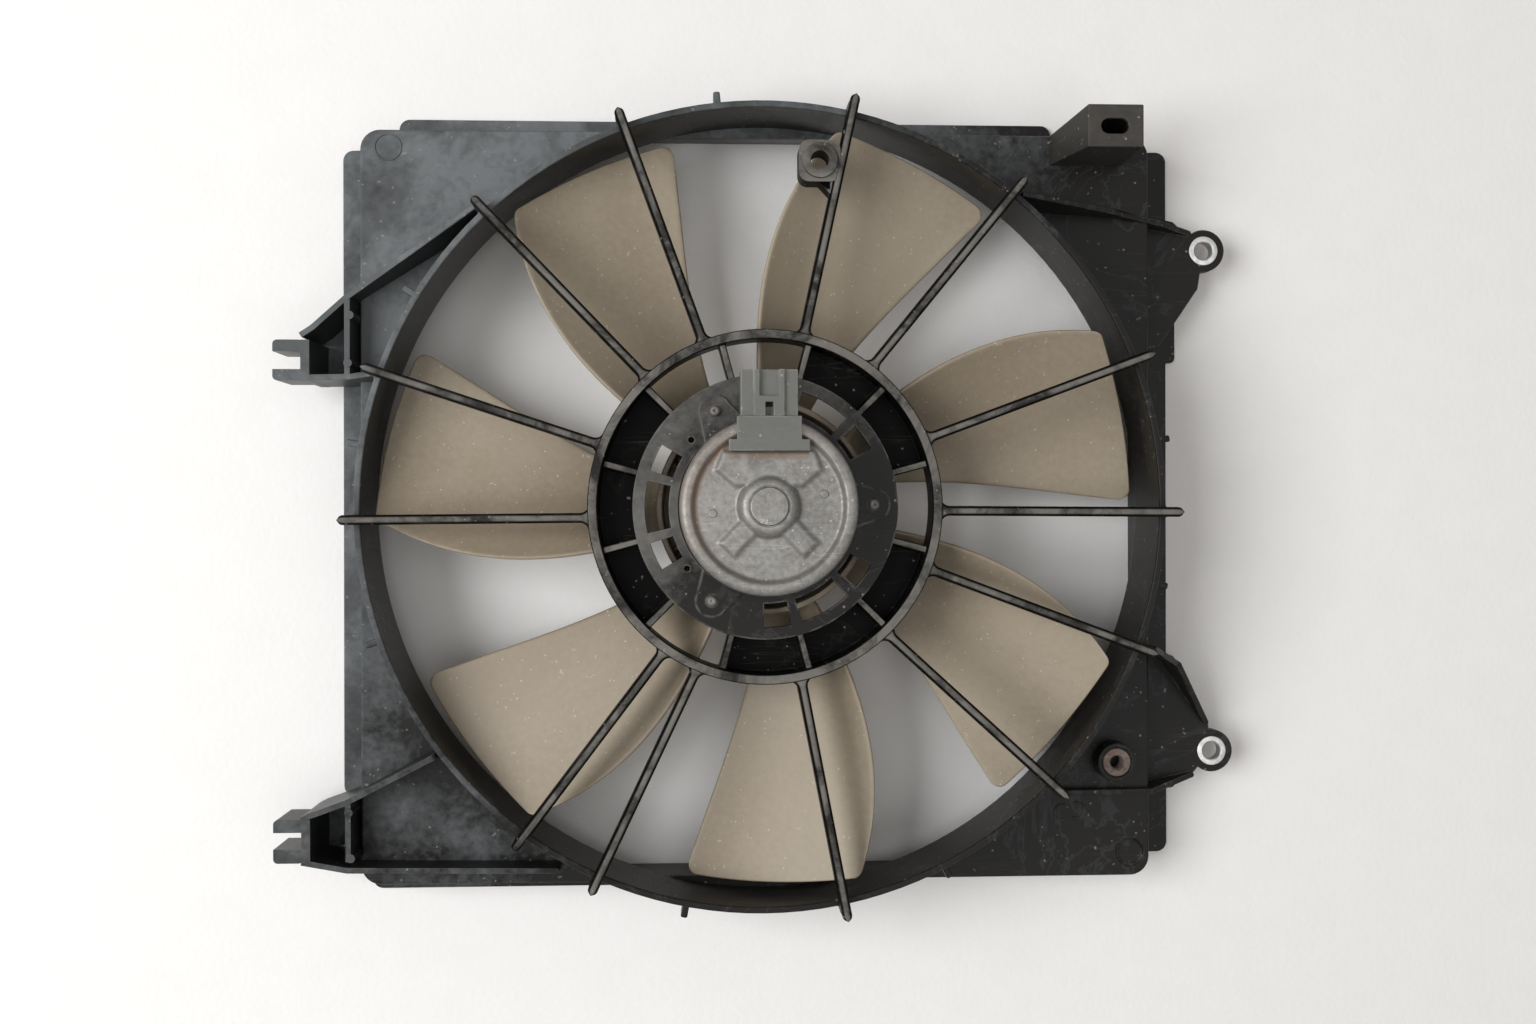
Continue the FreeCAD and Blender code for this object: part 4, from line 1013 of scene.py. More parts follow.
@dataclass(frozen=True)
class Studio:
    """Pale floor, soft lamps, even surroundings and the camera above the part."""

    floor_half: float = 4.0
    floor_level: float = -0.2 * MM
    floor_dark: Triple = (0.87, 0.86, 0.845)
    floor_pale: Triple = (0.93, 0.922, 0.91)
    fill: Triple = (1.0, 0.94, 0.88)
    fill_strength: float = 0.26
    lamps: tuple[tuple[str, Triple, Triple, float, float, Triple], ...] = (
        ("window", (-1.4, 0.05, 1.65), (0.0, 0.0, 0.05), 1.3, 40.0, (0.985, 0.992, 1.0)),
        ("ceiling", (0.35, -0.2, 2.6), (0.0, 0.0, 0.0), 2.0, 14.0, (0.99, 0.995, 1.0)),
    )
    eye: Triple = (-28.0 * MM, -2.2 * MM, 716.0 * MM)
    lean: float = -2.6
    roll: float = -0.1
    lens: float = 34.78

    def floor(self) -> None:
        """Makes the pale floor that keeps the part's shadow."""
        half = self.floor_half
        square = ((-half, -half), (half, -half), (half, half), (-half, half))
        corners = [Vector((x, y, self.floor_level)) for x, y in square]
        sheet = made_of("floor", corners, [(0, 1, 2, 3)])
        t = Coat("pale_floor")
        t["Base Color"] = t.mix(t.noise(60.0), self.floor_dark, self.floor_pale)
        t["Roughness"] = t.noise(30.0, 2).step(0.3, 0.7, 0.75, 0.9)
        t.relief(t.noise(350.0, 3), 0.4 * MM, strength=0.5, soft=0.0)
        sheet.data.materials.append(t.material)
        sheet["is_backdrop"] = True

    def surroundings(self) -> None:
        """Makes the even light all round, which mirrors and the camera see as white."""
        world = bpy.data.worlds.new("surroundings")
        bpy.context.scene.world = world
        world.use_nodes = True
        t = ShaderPen(world.node_tree)
        back = next(n for n in world.node_tree.nodes if n.type == "BACKGROUND")
        camera, glossy, through = (
            t.out("ShaderNodeLightPath", name=f"Is {ray} Ray") for ray in ("Camera", "Glossy", "Transmission")
        )
        seen = camera.higher(glossy).higher(through)
        t.feed(back.inputs["Color"], t.mix(seen, self.fill, (1.0, 1.0, 1.0)))
        t.feed(back.inputs["Strength"], seen.step(0.0, 1.0, self.fill_strength, 1.0))

    def lamp(self, name: str, spot: Triple, aim: Triple, size: float, power: float, tint: Triple) -> None:
        """Adds one soft square lamp.

        Args:
            name: Name of the lamp.
            spot: Where it hangs.
            aim: Point that it looks at.
            size: Length of its sides.
            power: Its power in watts.
            tint: Its colour.
        """
        data = bpy.data.lights.new(name, "AREA")
        data.size = size
        data.energy = power
        data.color = tint
        made = bpy.data.objects.new(name, data)
        bpy.context.scene.collection.objects.link(made)
        made.location = spot
        made.rotation_euler = (Vector(aim) - Vector(spot)).to_track_quat("-Z", "Y").to_euler()

    def camera(self) -> None:
        """Makes the camera at the photograph's place."""
        data = bpy.data.cameras.new("camera")
        data.lens = self.lens
        data.sensor_width = 36.0
        data.clip_start = 0.01
        data.clip_end = 50.0
        made = bpy.data.objects.new("camera", data)
        bpy.context.scene.collection.objects.link(made)
        roll = Matrix.Rotation(math.radians(self.roll), 4, "Z")
        lean = Matrix.Rotation(math.radians(self.lean), 4, "Y")
        made.matrix_world = Matrix.Translation(self.eye) @ roll @ lean
        bpy.context.scene.camera = made

    def build(self) -> None:
        """Builds the whole studio."""
        bpy.context.scene.view_settings.view_transform = "Standard"
        self.floor()
        self.surroundings()
        for lamp in self.lamps:
            self.lamp(*lamp)
        self.camera()
        LOG.info("studio built")


# Pieces


def present(
    piece: bpy.types.Object, body: Body, finish: Optional[Finish], stands_for: Iterable[str]
) -> None:
    """Hands a finished piece to the frame.

    Args:
        piece: Finished object at the origin.
        body: Body that it rides on.
        finish: Finish to give it, or None if it has its material.
        stands_for: CAD nodes that it replaces.
    """
    if finish:
        dress(piece, finish)
    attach(piece, body.value)
    nodes = list(stands_for)
    if nodes:
        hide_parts(*nodes)
    LOG.info("%s: %d faces on %s", piece.name, len(piece.data.polygons), body.value)


def dress(piece: bpy.types.Object, finish: Finish) -> None:
    """Gives a piece one finish all over."""
    piece.data.materials.clear()
    piece.data.materials.append(finish.material())


def copied(piece: bpy.types.Object, spots: Iterable[Vector], finish: Finish, name: str) -> bpy.types.Object:
    """Copies a small piece to several spots.

    Args:
        piece: Piece at the origin; it is removed.
        spots: Where the copies go.
        finish: Their finish.
        name: Name of the object that holds them all.

    Returns:
        The object with all copies.
    """
    mesh = bpy.data.meshes.new(name + "_spots")
    mesh.from_pydata([tuple(spot) for spot in spots], [], [])
    values = {"Piece": piece, "Material": finish.material()}
    made = Trees.get("at_each_point").run(new_object(name + "_spots", mesh), values, name)
    bpy.data.objects.remove(piece)
    smooth(made.data, SMALL_CORNER)
    return made


@dataclass
class SoftEdged:
    """Copies of moulded CAD nodes whose free edges are rounded, and left sharp where two nodes meet."""

    body: Body
    slot: Slot
    neighbours: tuple[str, ...] = ()
    segments: int = 3
    touch: float = 0.12 * MM
    sharp: float = math.radians(32)
    flat: float = math.radians(0.6)
    merge: float = 1e-6
    corner: float = 42
    trees: dict[str, BVHTree] = field(default_factory=dict)

    def merged(self, node: str) -> bmesh.types.BMesh:
        """Gives a copy of a node's mesh with its loose triangles merged into flat faces.

        Args:
            node: CAD node to copy.

        Returns:
            The merged copy.
        """
        form = bmesh.new()
        form.from_mesh(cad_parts[node].data)
        bmesh.ops.remove_doubles(form, verts=form.verts, dist=self.merge)
        bmesh.ops.dissolve_limit(
            form, angle_limit=self.flat, verts=form.verts, edges=form.edges, use_dissolve_boundaries=False
        )
        return form

    def tree(self, node: str) -> BVHTree:
        """Gives the search tree of a node's surface.

        Args:
            node: CAD node to search.

        Returns:
            Its tree, built once.
        """
        if node not in self.trees:
            form = bmesh.new()
            form.from_mesh(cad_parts[node].data)
            self.trees[node] = BVHTree.FromBMesh(form)
            form.free()
        return self.trees[node]

    def weigh(self, form: bmesh.types.BMesh, node: str) -> None:
        """Marks the edges to be rounded: sharp ones that no neighbour touches.

        Args:
            form: Merged copy of the node.
            node: The node, which isn't its own neighbour.
        """
        weight = form.edges.layers.float.new("bevel_weight_edge")
        others = [self.tree(n) for n in self.neighbours if n != node]
        for edge in form.edges:
            if len(edge.link_faces) == 2 and edge.calc_face_angle(0.0) >= self.sharp:
                middle = (edge.verts[0].co + edge.verts[1].co) / 2
                if all(tree.find_nearest(middle, self.touch)[0] is None for tree in others):
                    edge[weight] = 1.0

    def make(self, node: str, width: float) -> bpy.types.Object:
        """Builds the rounded copy of a node.

        Args:
            node: CAD node to copy.
            width: Width of the rounding, or 0 to keep the node's own edges.

        Returns:
            The rounded copy, whose large faces look flat.
        """
        form = self.merged(node)
        if width:
            self.weigh(form, node)
        mesh = bpy.data.meshes.new(node + "_rounded")
        form.to_mesh(mesh)
        form.free()
        piece = new_object(node + "_rounded", mesh)
        if width:
            bevel = piece.modifiers.new("edges", "BEVEL")
            bevel.width = width
            bevel.segments = self.segments
            bevel.limit_method = "WEIGHT"
            bevel.use_clamp_overlap = False
            bevel.loop_slide = False
            bevel.miter_outer = "MITER_ARC"
            piece = settled(piece)
        smooth(piece.data, self.corner)
        normals = piece.modifiers.new("normals", "WEIGHTED_NORMAL")
        normals.keep_sharp = True
        return settled(piece)

    def show(self, node: str, width: float, finish: Finish) -> None:
        """Builds the rounded copy of a node and lets it stand for the node."""
        present(self.make(node, width), self.body, finish, [node])


@dataclass
class Shroud:
    """The moulded dish, its ring, arms and bosses, with the rounding of each piece's edges."""

    widths: tuple[tuple[str, float], ...] = (
        ("shroud_plate", 1.1 * MM),
        ("shroud_skirt", 1.1 * MM),
        ("base_lip", 0.8 * MM),
        ("shroud_ring", 0.8 * MM),
        ("upper_fork_arm", 0.0),
        ("lower_fork_arm", 0.0),
        ("upper_eyelet_arm", 0.0),
        ("lower_eyelet_arm", 0.0),
        ("plate_ridges", 0.5 * MM),
        ("slot_bracket", 0.6 * MM),
        ("screw_boss", 0.9 * MM),
    )

    def build(self) -> None:
        """Builds and dresses the moulding's pieces."""
        maker = SoftEdged(Body.SHROUD, Slot.SHROUD, tuple(node for node, width in self.widths))
        for node, width in self.widths:
            maker.show(node, width, BRACKET if node == "slot_bracket" else SHROUD)


@dataclass
class PlateMarks:
    """Fine raised beads on the plate: one ring and a pair of crescents."""

    level: float = 30 * MM
    width: float = 0.9 * MM
    high: float = 0.45 * MM
    steps: int = 36
    section: tuple[Spot, ...] = (
        (-0.5, -0.6), (-0.42, 0.55), (-0.2, 0.95), (0.2, 0.95), (0.42, 0.55), (0.5, -0.6)
    )
    beads: tuple[tuple[float, float, float, float, float], ...] = (
        (-170.6, 165.0, 6.0, 0.0, 360.0),
        (140.3, -142.6, 3.6, 60.0, 300.0),
        (147.4, -141.7, 3.6, -120.0, 120.0),
    )

    def bead(
        self, x: float, y: float, radius: float, start: float, end: float, first: int
    ) -> tuple[list[Vector], Faces]:
        """Gives points and faces of one bead along an arc.

        Args:
            x: Middle of the arc in millimetres.
            y: Middle of the arc in millimetres.
            radius: Radius of the arc in millimetres.
            start: First angle in degrees.
            end: Last angle in degrees.
            first: Number of the bead's first point.

        Returns:
            The points in metres and the faces.
        """
        points, faces = [], []
        around = len(self.section)
        last = first + self.steps * around
        for step in range(self.steps + 1):
            turn = math.radians(start + (end - start) * step / self.steps)
            for side, lift in self.section:
                reach = radius * MM + side * self.width
                points.append(polar(reach, turn, self.level + lift * self.high, (x * MM, y * MM)))
        for row in range(first, last, around):
            faces += band(row, row + around, around)
        if end - start < 360:
            faces += [tuple(range(first, first + around)), tuple(range(last, last + around))]
        return points, faces

    def build(self) -> None:
        """Builds and dresses the beads."""
        points, faces = [], []
        for bead in self.beads:
            more, sides = self.bead(*bead, first=len(points))
            points += more
            faces += sides
        present(made_of("plate_beads", points, faces), Body.SHROUD, SHROUD, [])


@dataclass
class Guard:
    """Spokes, hub ring, motor disc and harness eye over the fan."""

    hub_radius: float = 75.9 * MM
    tip_radius: float = 182.5 * MM
    low: float = 66 * MM
    top: float = 79 * MM
    width: float = 4.3 * MM
    rounding: float = 1.9 * MM
    flare: float = 4 * MM
    corner: float = 50
    spokes: tuple[Spot, ...] = (
        (110.6, 110.3),
        (77.2, 77.5),
        (52.6, 51.5),
        (22.8, 21.4),
        (-1.4, -0.8),
        (-20.9, -20.7),
        (-46.2, -44.0),
        (-78.4, -78.8),
        (-113.0, -114.4),
        (-125.2, -126.4),
        (-176.5, -178.3),
        (159.4, 160.8),
        (132.7, 133.4),
    )

    def rails(self) -> bpy.types.Object:
        """Makes the middle lines of the spokes as the edges of one mesh.

        Returns:
            The object with the lines.
        """
        middle = (self.low + self.top) / 2
        points = []
        for hub, tip in self.spokes:
            points.append(tuple(polar(self.hub_radius, math.radians(hub), middle)))
            points.append(tuple(polar(self.tip_radius, math.radians(tip), middle)))
        mesh = bpy.data.meshes.new("rails")
        mesh.from_pydata(points, [(2 * k, 2 * k + 1) for k in range(len(self.spokes))], [])
        return new_object("rails", mesh)

    def bars(self) -> None:
        """Builds the spokes."""
        values = {
            "Width": self.width,
            "Height": self.top - self.low,
            "Rounding": self.rounding,
            "Flare": self.flare,
            "Material": GUARD.material(),
        }
        piece = Trees.get("guard_bars").run(self.rails(), values, "guard_bars")
        smooth(piece.data, self.corner)
        present(piece, Body.SHROUD, None, ["guard_spokes"])

    def build(self) -> None:
        """Builds and dresses the guard."""
        self.bars()
        maker = SoftEdged(Body.SHROUD, Slot.GUARD, ("hub_ring", "motor_disc"))
        maker.show("hub_ring", 0.8 * MM, GUARD)
        maker.show("motor_disc", 0.0, DISC)
        maker.show("harness_eye", 0.0, GUARD)


@dataclass
class Can:
    """The motor's deep-drawn can with its embossed rear face."""

    radius: float = 36.8 * MM
    wall: float = 2.0 * MM
    low: float = 75 * MM
    mouth: float = 0.3 * MM
    face: float = 109 * MM
    rim_top: float = 112 * MM
    rim_round: float = 3.2 * MM
    rim_inner: Spot = (29.4 * MM, 32.6 * MM)
    boss_radius: float = 12.3 * MM
    boss_high: float = 4.5 * MM
    boss_round: float = 3.6 * MM
    boss_foot: float = 2.6 * MM
    steep: float = 0.35 * MM
    cap_radius: float = 8.0 * MM
    cap_high: float = 0.7 * MM
    groove: float = 0.5 * MM
    emboss: float = 2.0 * MM
    emboss_soft: float = 3.4 * MM
    fillet: float = 0.9 * MM
    arms: Spot = (226.0, 314.0)
    arm_end: float = 25.0 * MM
    arm_half: float = 4.4 * MM
    plateau: tuple[Spot, ...] = (
        (-14 * MM, 8 * MM),
        (-22 * MM, 15 * MM),
        (-19 * MM, 23 * MM),
        (19 * MM, 23 * MM),
        (22 * MM, 15 * MM),
        (14 * MM, 8 * MM),
    )
    pole: float = 0.02 * MM
    cap_edge: float = 0.06 * MM
    pocket_gap: float = 0.05 * MM
    edge_steps: int = 10
    steps_round: int = 300
    step_out: float = 0.42 * MM

    def plateau_depth(self, x: float, y: float) -> float:
        """Distance of a point inside the plateau's outline.

        Args:
            x: Place of the point.
            y: Place of the point.

        Returns:
            The distance, negative outside the outline.
        """
        depths = []
        for (x0, y0), (x1, y1) in zip(self.plateau, self.plateau[1:] + self.plateau[:1]):
            length = math.hypot(x1 - x0, y1 - y0)
            depths.append(((x1 - x0) * (y - y0) - (y1 - y0) * (x - x0)) / -length)
        return min(depths)

    def arm_depth(self, x: float, y: float, degrees: float) -> float:
        """Distance of a point inside one embossed arm.

        Args:
            x: Place of the point.
            y: Place of the point.
            degrees: Direction of the arm.

        Returns:
            The distance, negative outside the arm.
        """
        turn = math.radians(degrees)
        along = x * math.cos(turn) + y * math.sin(turn)
        across = -x * math.sin(turn) + y * math.cos(turn)
        return min(self.arm_half - abs(across), self.arm_end - along, along)

    def boss(self, reach: float) -> float:
        """Height of the bearing boss above the face.

        Args:
            reach: Distance from the axis.

        Returns:
            The height of cap, groove, shoulder or foot there.
        """
        level = self.boss_high - self.boss_round
        if reach < self.cap_radius:
            return self.boss_high + self.cap_high * min(1.0, (self.cap_radius - reach) / self.steep)
        if reach < self.cap_radius + self.groove:
            return self.boss_high - self.groove
        shoulder = self.boss_radius - self.boss_round
        if reach < shoulder:
            return self.boss_high
        if reach < self.boss_radius - self.steep:
            return level + math.sqrt(self.boss_round**2 - (reach - shoulder) ** 2)
        foot = level + math.sqrt(self.boss_round**2 - (self.boss_round - self.steep) ** 2)
        return foot * (1 - ease((reach - self.boss_radius + self.steep) / self.boss_foot)) ** 2

    def blended(self, first: float, second: float) -> float:
        """Higher of two heights, with a fillet where they are nearly level."""
        near = max(0.0, self.fillet - abs(first - second)) / self.fillet
        return max(first, second) + near * near * self.fillet / 4

    def height(self, reach: float, angle: float) -> float:
        """Height of the can's outer skin over a point of its rear face.

        Args:
            reach: Distance from the axis.
            angle: Direction in radians.

        Returns:
            The height above the part's base.
        """
        x, y = reach * math.cos(angle), reach * math.sin(angle)
        rim_low, rim_high = self.rim_inner
        rim = (self.rim_top - self.face) * ease((reach - rim_low) / (rim_high - rim_low))
        depth = max([self.plateau_depth(x, y)] + [self.arm_depth(x, y, a) for a in self.arms])
        pressed = self.emboss * ease(depth / self.emboss_soft + 0.5)
        lift = self.blended(self.blended(rim, pressed), self.boss(reach))
        start = self.radius - self.rim_round
        if reach > start:
            lift -= self.rim_round - math.sqrt(max(0.0, self.rim_round**2 - (reach - start) ** 2))
        return self.face + lift

    def shell(self) -> bpy.types.Object:
        """Makes the can's closed shell: its face from the pole out, then its walls and inside.

        Returns:
            The shell.
        """
        start = self.radius - self.rim_round
        reaches = [self.pole]
        while reaches[-1] < start - self.step_out:
            reaches.append(reaches[-1] + self.step_out)
        turns = [math.radians(90 * k / self.edge_steps) for k in range(self.edge_steps + 1)]
        reaches += [start + self.rim_round * math.sin(turn) for turn in turns]
        reaches += [self.cap_radius, self.cap_radius + self.cap_edge, self.cap_radius + self.groove]
        inner = self.radius - self.wall
        pocket = self.cap_radius + self.pocket_gap
        closing = [
            (self.radius, self.low + self.mouth),
            (self.radius - self.mouth, self.low),
            (inner, self.low),
            (inner, self.face - self.wall),
            (pocket, self.face - self.wall),
            (pocket, self.face + self.emboss),
            (self.pole, self.face + self.emboss),
        ]
        angles = [FULL_TURN * step / self.steps_round for step in range(self.steps_round)]
        rows = [[polar(reach, a, self.height(reach, a)) for a in angles] for reach in sorted(set(reaches))]
        rows += [[polar(reach, a, z) for a in angles] for reach, z in closing]
        return tube("motor_can_shell", rows)

    def build(self) -> None:
        """Builds and dresses the can."""
        present(self.shell(), Body.SHROUD, ZINC, ["motor_can"])


@dataclass
class MotorFittings:
    """Rivets, cover, screws and connector of the motor."""

    rivets: tuple[Spot, ...] = ((-23.0 * MM, -2.9 * MM), (22.8 * MM, 5.1 * MM))
    rivet_radius: float = 1.8 * MM
    rivet_high: float = 0.9 * MM
    rivet_round: float = 0.5 * MM
    face: float = 109 * MM
    screw_circle: float = 46.5 * MM
    screw_angles: Triple = (118.0, 1.0, 240.0)
    screw_radius: float = 2.5 * MM
    head_radius: float = 4.6 * MM
    head_round: float = 1.4 * MM
    under: float = 71.5 * MM
    head_high: float = 3.6 * MM
    recess: float = 1.9 * MM
    recess_deep: float = 2 * MM
    tip: float = 82 * MM
    pitch: float = 0.8 * MM
    thread_deep: float = 0.35 * MM
    thread_end: float = 1.2 * MM
    neck: Spot = (0.3 * MM, 0.8 * MM)
    tip_inset: float = 1.2 * MM
    tip_round: float = 0.7 * MM
    dimple: tuple[Spot, ...] = ((0.7 * MM, 0.0), (0.5 * MM, 0.5 * MM), (0.0, 0.6 * MM))

    def rivet(self) -> bpy.types.Object:
        """Makes one flat-topped rivet head.

        Returns:
            The rivet.
        """
        soft = self.rivet_round
        outline = [(0.0, -soft), (self.rivet_radius, -soft)]
        outline += arc((self.rivet_radius - soft, self.rivet_high - soft), soft, 0, 90)
        return lathe("rivet", outline + [(0.0, self.rivet_high)], 28)

    def socket(self, radius: float, height: float, angle: float) -> float:
        """Radius of the screw's outline, six-sided inside its head's recess.

        Args:
            radius: Radius of the round outline.
            height: Height of the point.
            angle: Direction in radians.

        Returns:
            The radius there.
        """
        if radius > self.recess or height > self.under or radius == 0.0:
            return radius
        sixth = math.pi / 3
        return radius * math.cos(sixth / 2) / math.cos(angle % sixth - sixth / 2)

    def screw(self) -> bpy.types.Object:
        """Makes one screw with a domed head, a six-sided recess and turned thread rings.

        Returns:
            The screw.
        """
        low = self.under - self.head_high
        shank, tip, soft = self.screw_radius, self.tip, self.head_round
        outline = [(0.0, low + self.recess_deep), (self.recess, low + self.recess_deep), (self.recess, low)]
        outline += arc((self.head_radius - soft, low + soft), soft, -90, 0)
        outline += [(self.head_radius, self.under), (shank, self.under)]
        z = self.under + self.pitch
        while z < tip - self.thread_end:
            outline += [(shank, z), (shank - self.thread_deep, z + self.pitch / 2)]
            z += self.pitch
        outline += [(shank - self.neck[0], tip - self.neck[1])]
        outline += arc((shank - self.tip_inset, tip - self.tip_round), self.tip_round, 20, 90)
        outline += [(reach, tip - deep) for reach, deep in self.dimple]
        return lathe("screw", outline, 36, self.socket)

    def build(self) -> None:
        """Builds and dresses the motor's fittings."""
        spots = [Vector((x, y, self.face)) for x, y in self.rivets]
        rivets = copied(self.rivet(), spots, ZINC, "can_rivets")
        present(rivets, Body.SHROUD, None, [])
        spots = [polar(self.screw_circle, math.radians(turn), 0.0) for turn in self.screw_angles]
        screws = copied(self.screw(), spots, DULL, "cover_screws")
        present(screws, Body.SHROUD, None, ["motor_screws"])
        SoftEdged(Body.SHROUD, Slot.ZINC).show("motor_bracket", 0.6 * MM, ZINC)
        for node in ("connector_holder", "connector_housing"):
            SoftEdged(Body.SHROUD, Slot.CONNECTOR).show(node, 0.3 * MM, CONNECTOR)


@dataclass
class Fixtures:
    """Steel sleeves in the screw eyes and the threaded insert."""

    eyes: tuple[Spot, ...] = ((211.7 * MM, 121.9 * MM), (215.2 * MM, -116.4 * MM))
    low: float = 12.4 * MM
    high: float = 18.6 * MM
    bore: float = 4.2 * MM
    barrel: float = 5.8 * MM
    flange: float = 6.9 * MM
    flange_thick: float = 0.6 * MM
    bevel: float = 0.5 * MM
    boss: Spot = (163.6 * MM, -118.0 * MM)
    insert_radius: float = 6.5 * MM
    insert_hole: float = 3.0 * MM
    insert_low: float = 31 * MM
    insert_top: float = 40 * MM
    foot: float = 0.4 * MM
    mouth: float = 0.8 * MM
    thread_deep: float = 0.35 * MM
    pitch: float = 1.0 * MM

    def sleeve(self) -> bpy.types.Object:
        """Makes one flanged sleeve with rolled lips.

        Returns:
            The sleeve.
        """
        lip = self.flange_thick / 2
        outline = [(self.bore, self.low + self.bevel), (self.bore + self.bevel, self.low)]
        outline += arc((self.flange - lip, self.low + lip), lip, -90, 90, 6)
        outline += [(self.barrel, self.low + self.flange_thick), (self.barrel, self.high - self.flange_thick)]
        outline += arc((self.flange - lip, self.high - lip), lip, -90, 90, 6)
        outline += [(self.bore + self.bevel, self.high), (self.bore, self.high - self.bevel)]
        return lathe("sleeve", outline, 56)

    def insert(self) -> bpy.types.Object:
        """Makes the threaded insert with its turned-in thread and bevelled mouth.

        Returns:
            The insert.
        """
        hole, radius, bevel, low, top = (
            self.insert_hole, self.insert_radius, self.bevel, self.insert_low, self.insert_top
        )
        outline = [(hole + self.foot, low), (radius - bevel, low), (radius, low + bevel)]
        outline += [(radius, top - bevel), (radius - bevel, top), (hole + self.mouth, top)]
        z = top - self.mouth
        while z > low + self.mouth:
            outline += [(hole, z), (hole + self.thread_deep, z - self.pitch / 2)]
            z -= self.pitch
        made = lathe("threaded_insert_made", outline, 56)
        made.data.transform(Matrix.Translation((*self.boss, 0.0)))
        return made

    def build(self) -> None:
        """Builds and dresses the fixtures."""
        spots = [Vector((x, y, 0.0)) for x, y in self.eyes]
        sleeves = copied(self.sleeve(), spots, BRIGHT, "eyelet_sleeves_made")
        present(sleeves, Body.SHROUD, None, ["eyelet_sleeves"])
        present(self.insert(), Body.SHROUD, RUSTY, ["threaded_insert"])


@dataclass
class FanWheel:
    """Hub and blades of the fan; each blade edge has radius, angle and height at three places."""

    count: int = 7
    root: float = 46.2 * MM
    hub: float = 47.5 * MM
    tip: float = 171.0 * MM
    lead: tuple[Triple, ...] = ((46.0, 14.0, 33.0), (105.0, 5.7, 34.0), (171.0, 1.0, 35.0))
    trail: tuple[Triple, ...] = ((46.0, 42.5, 60.0), (105.0, 38.6, 58.5), (171.0, 27.4, 56.0))
    camber: float = 0.07
    thick_root: float = 3.0 * MM
    thick_tip: float = 2.0 * MM
    root_fillet: float = 2.2 * MM
    root_fade: float = 1.6 * MM
    tip_round: float = 0.8 * MM
    tip_least: float = 0.0025
    lead_corner: float = 6.0 * MM
    trail_corner: float = 3.0 * MM
    chord_steps: int = 26
    plain_rows: int = 26
    plain_end: float = 6.2 * MM
    hub_rows: tuple[float, ...] = (0.1, 0.5, 1.0, 1.8, 3.0)
    corner: float = 60
    tip_rows: tuple[float, ...] = (
        5.8, 5.2, 4.4, 3.6, 2.9, 2.4, 1.9, 1.4, 1.0, 0.8, 0.6, 0.4, 0.25, 0.12, 0.04
    )

    @staticmethod
    def on_edge(edge: tuple[Triple, ...], radius: float) -> Spot:
        """Angle in radians and height in metres of a blade's edge.

        Args:
            edge: Radius, angle and height at three places.
            radius: Where to look, in metres.

        Returns:
            The values of the parabolas through the three places.
        """
        (r0, a0, z0), (r1, a1, z1), (r2, a2, z2) = edge
        r = radius / MM
        k0 = (r - r1) * (r - r2) / ((r0 - r1) * (r0 - r2))
        k1 = (r - r0) * (r - r2) / ((r1 - r0) * (r1 - r2))
        k2 = (r - r0) * (r - r1) / ((r2 - r0) * (r2 - r1))
        return math.radians(a0 * k0 + a1 * k1 + a2 * k2), (z0 * k0 + z1 * k1 + z2 * k2) * MM

    def corner_inset(self, radius: float, corner: float) -> float:
        """How far a tip corner's rounding moves an edge in at a radius."""
        past = max(0.0, radius - (self.tip - corner))
        return corner - math.sqrt(max(0.0, corner**2 - past**2))

    def thickness(self, radius: float) -> float:
        """Thickness of the blade with its root's fillet and its rounded tip.

        Args:
            radius: Distance from the axis.

        Returns:
            The thickness there.
        """
        share = (radius - self.root) / (self.tip - self.root)
        thick = self.thick_root + (self.thick_tip - self.thick_root) * share
        thick += self.root_fillet * math.exp(-max(0.0, radius - self.hub) / self.root_fade)
        past = max(0.0, radius - (self.tip - self.tip_round)) / self.tip_round
        return thick * math.sqrt(max(self.tip_least, 1 - past**2))

    def section(self, radius: float) -> list[Vector]:
        """Points round the blade's section.

        Args:
            radius: Distance of the section from the axis.

        Returns:
            The points, upper side first.
        """
        lead_turn, lead_z = self.on_edge(self.lead, radius)
        trail_turn, trail_z = self.on_edge(self.trail, radius)
        chord = math.hypot((trail_turn - lead_turn) * radius, trail_z - lead_z)
        thick = self.thickness(radius)
        start = self.corner_inset(radius, self.lead_corner) / chord
        end = 1 - self.corner_inset(radius, self.trail_corner) / chord
        across, rise = (trail_turn - lead_turn) * radius / chord, (trail_z - lead_z) / chord
        nose = 0.5 * thick / chord

        def point(part: float, side: float) -> Vector:
            """Point at a share of the chord, on the upper side for 1 and the lower for -1.

            Args:
                part: Share of the chord.
                side: 1 for the upper side, -1 for the lower.

            Returns:
                The point.
            """
            s = start + (end - start) * part
            edge_gap = min(s - start, end - s) / nose
            half = 0.5 * thick * math.sqrt(max(0.0, 1 - max(0.0, 1 - edge_gap) ** 2))
            dip = 4 * s * (1 - s) * self.camber * chord
            normal = side * half + 0.5 * thick
            turn = lead_turn + (s * chord * across + (dip - normal) * rise) / radius
            return polar(radius, turn, lead_z + s * chord * rise - (dip - normal) * across)

        steps = self.chord_steps
        shares = [0.5 - 0.5 * math.cos(math.pi * k / steps) for k in range(steps + 1)]
        return [point(part, 1.0) for part in shares] + [point(part, -1.0) for part in shares[-2:0:-1]]

    def blade(self) -> bpy.types.Object:
        """Makes one blade as a closed mesh, with more sections near its hub and tip.

        Returns:
            The blade.
        """
        plain = self.tip - self.plain_end - self.root
        radii = {self.root + plain * k / self.plain_rows for k in range(self.plain_rows + 1)}
        radii |= {self.hub + d * MM for d in self.hub_rows} | {self.tip - d * MM for d in self.tip_rows}
        return tube("blade", [self.section(radius) for radius in sorted(radii)])

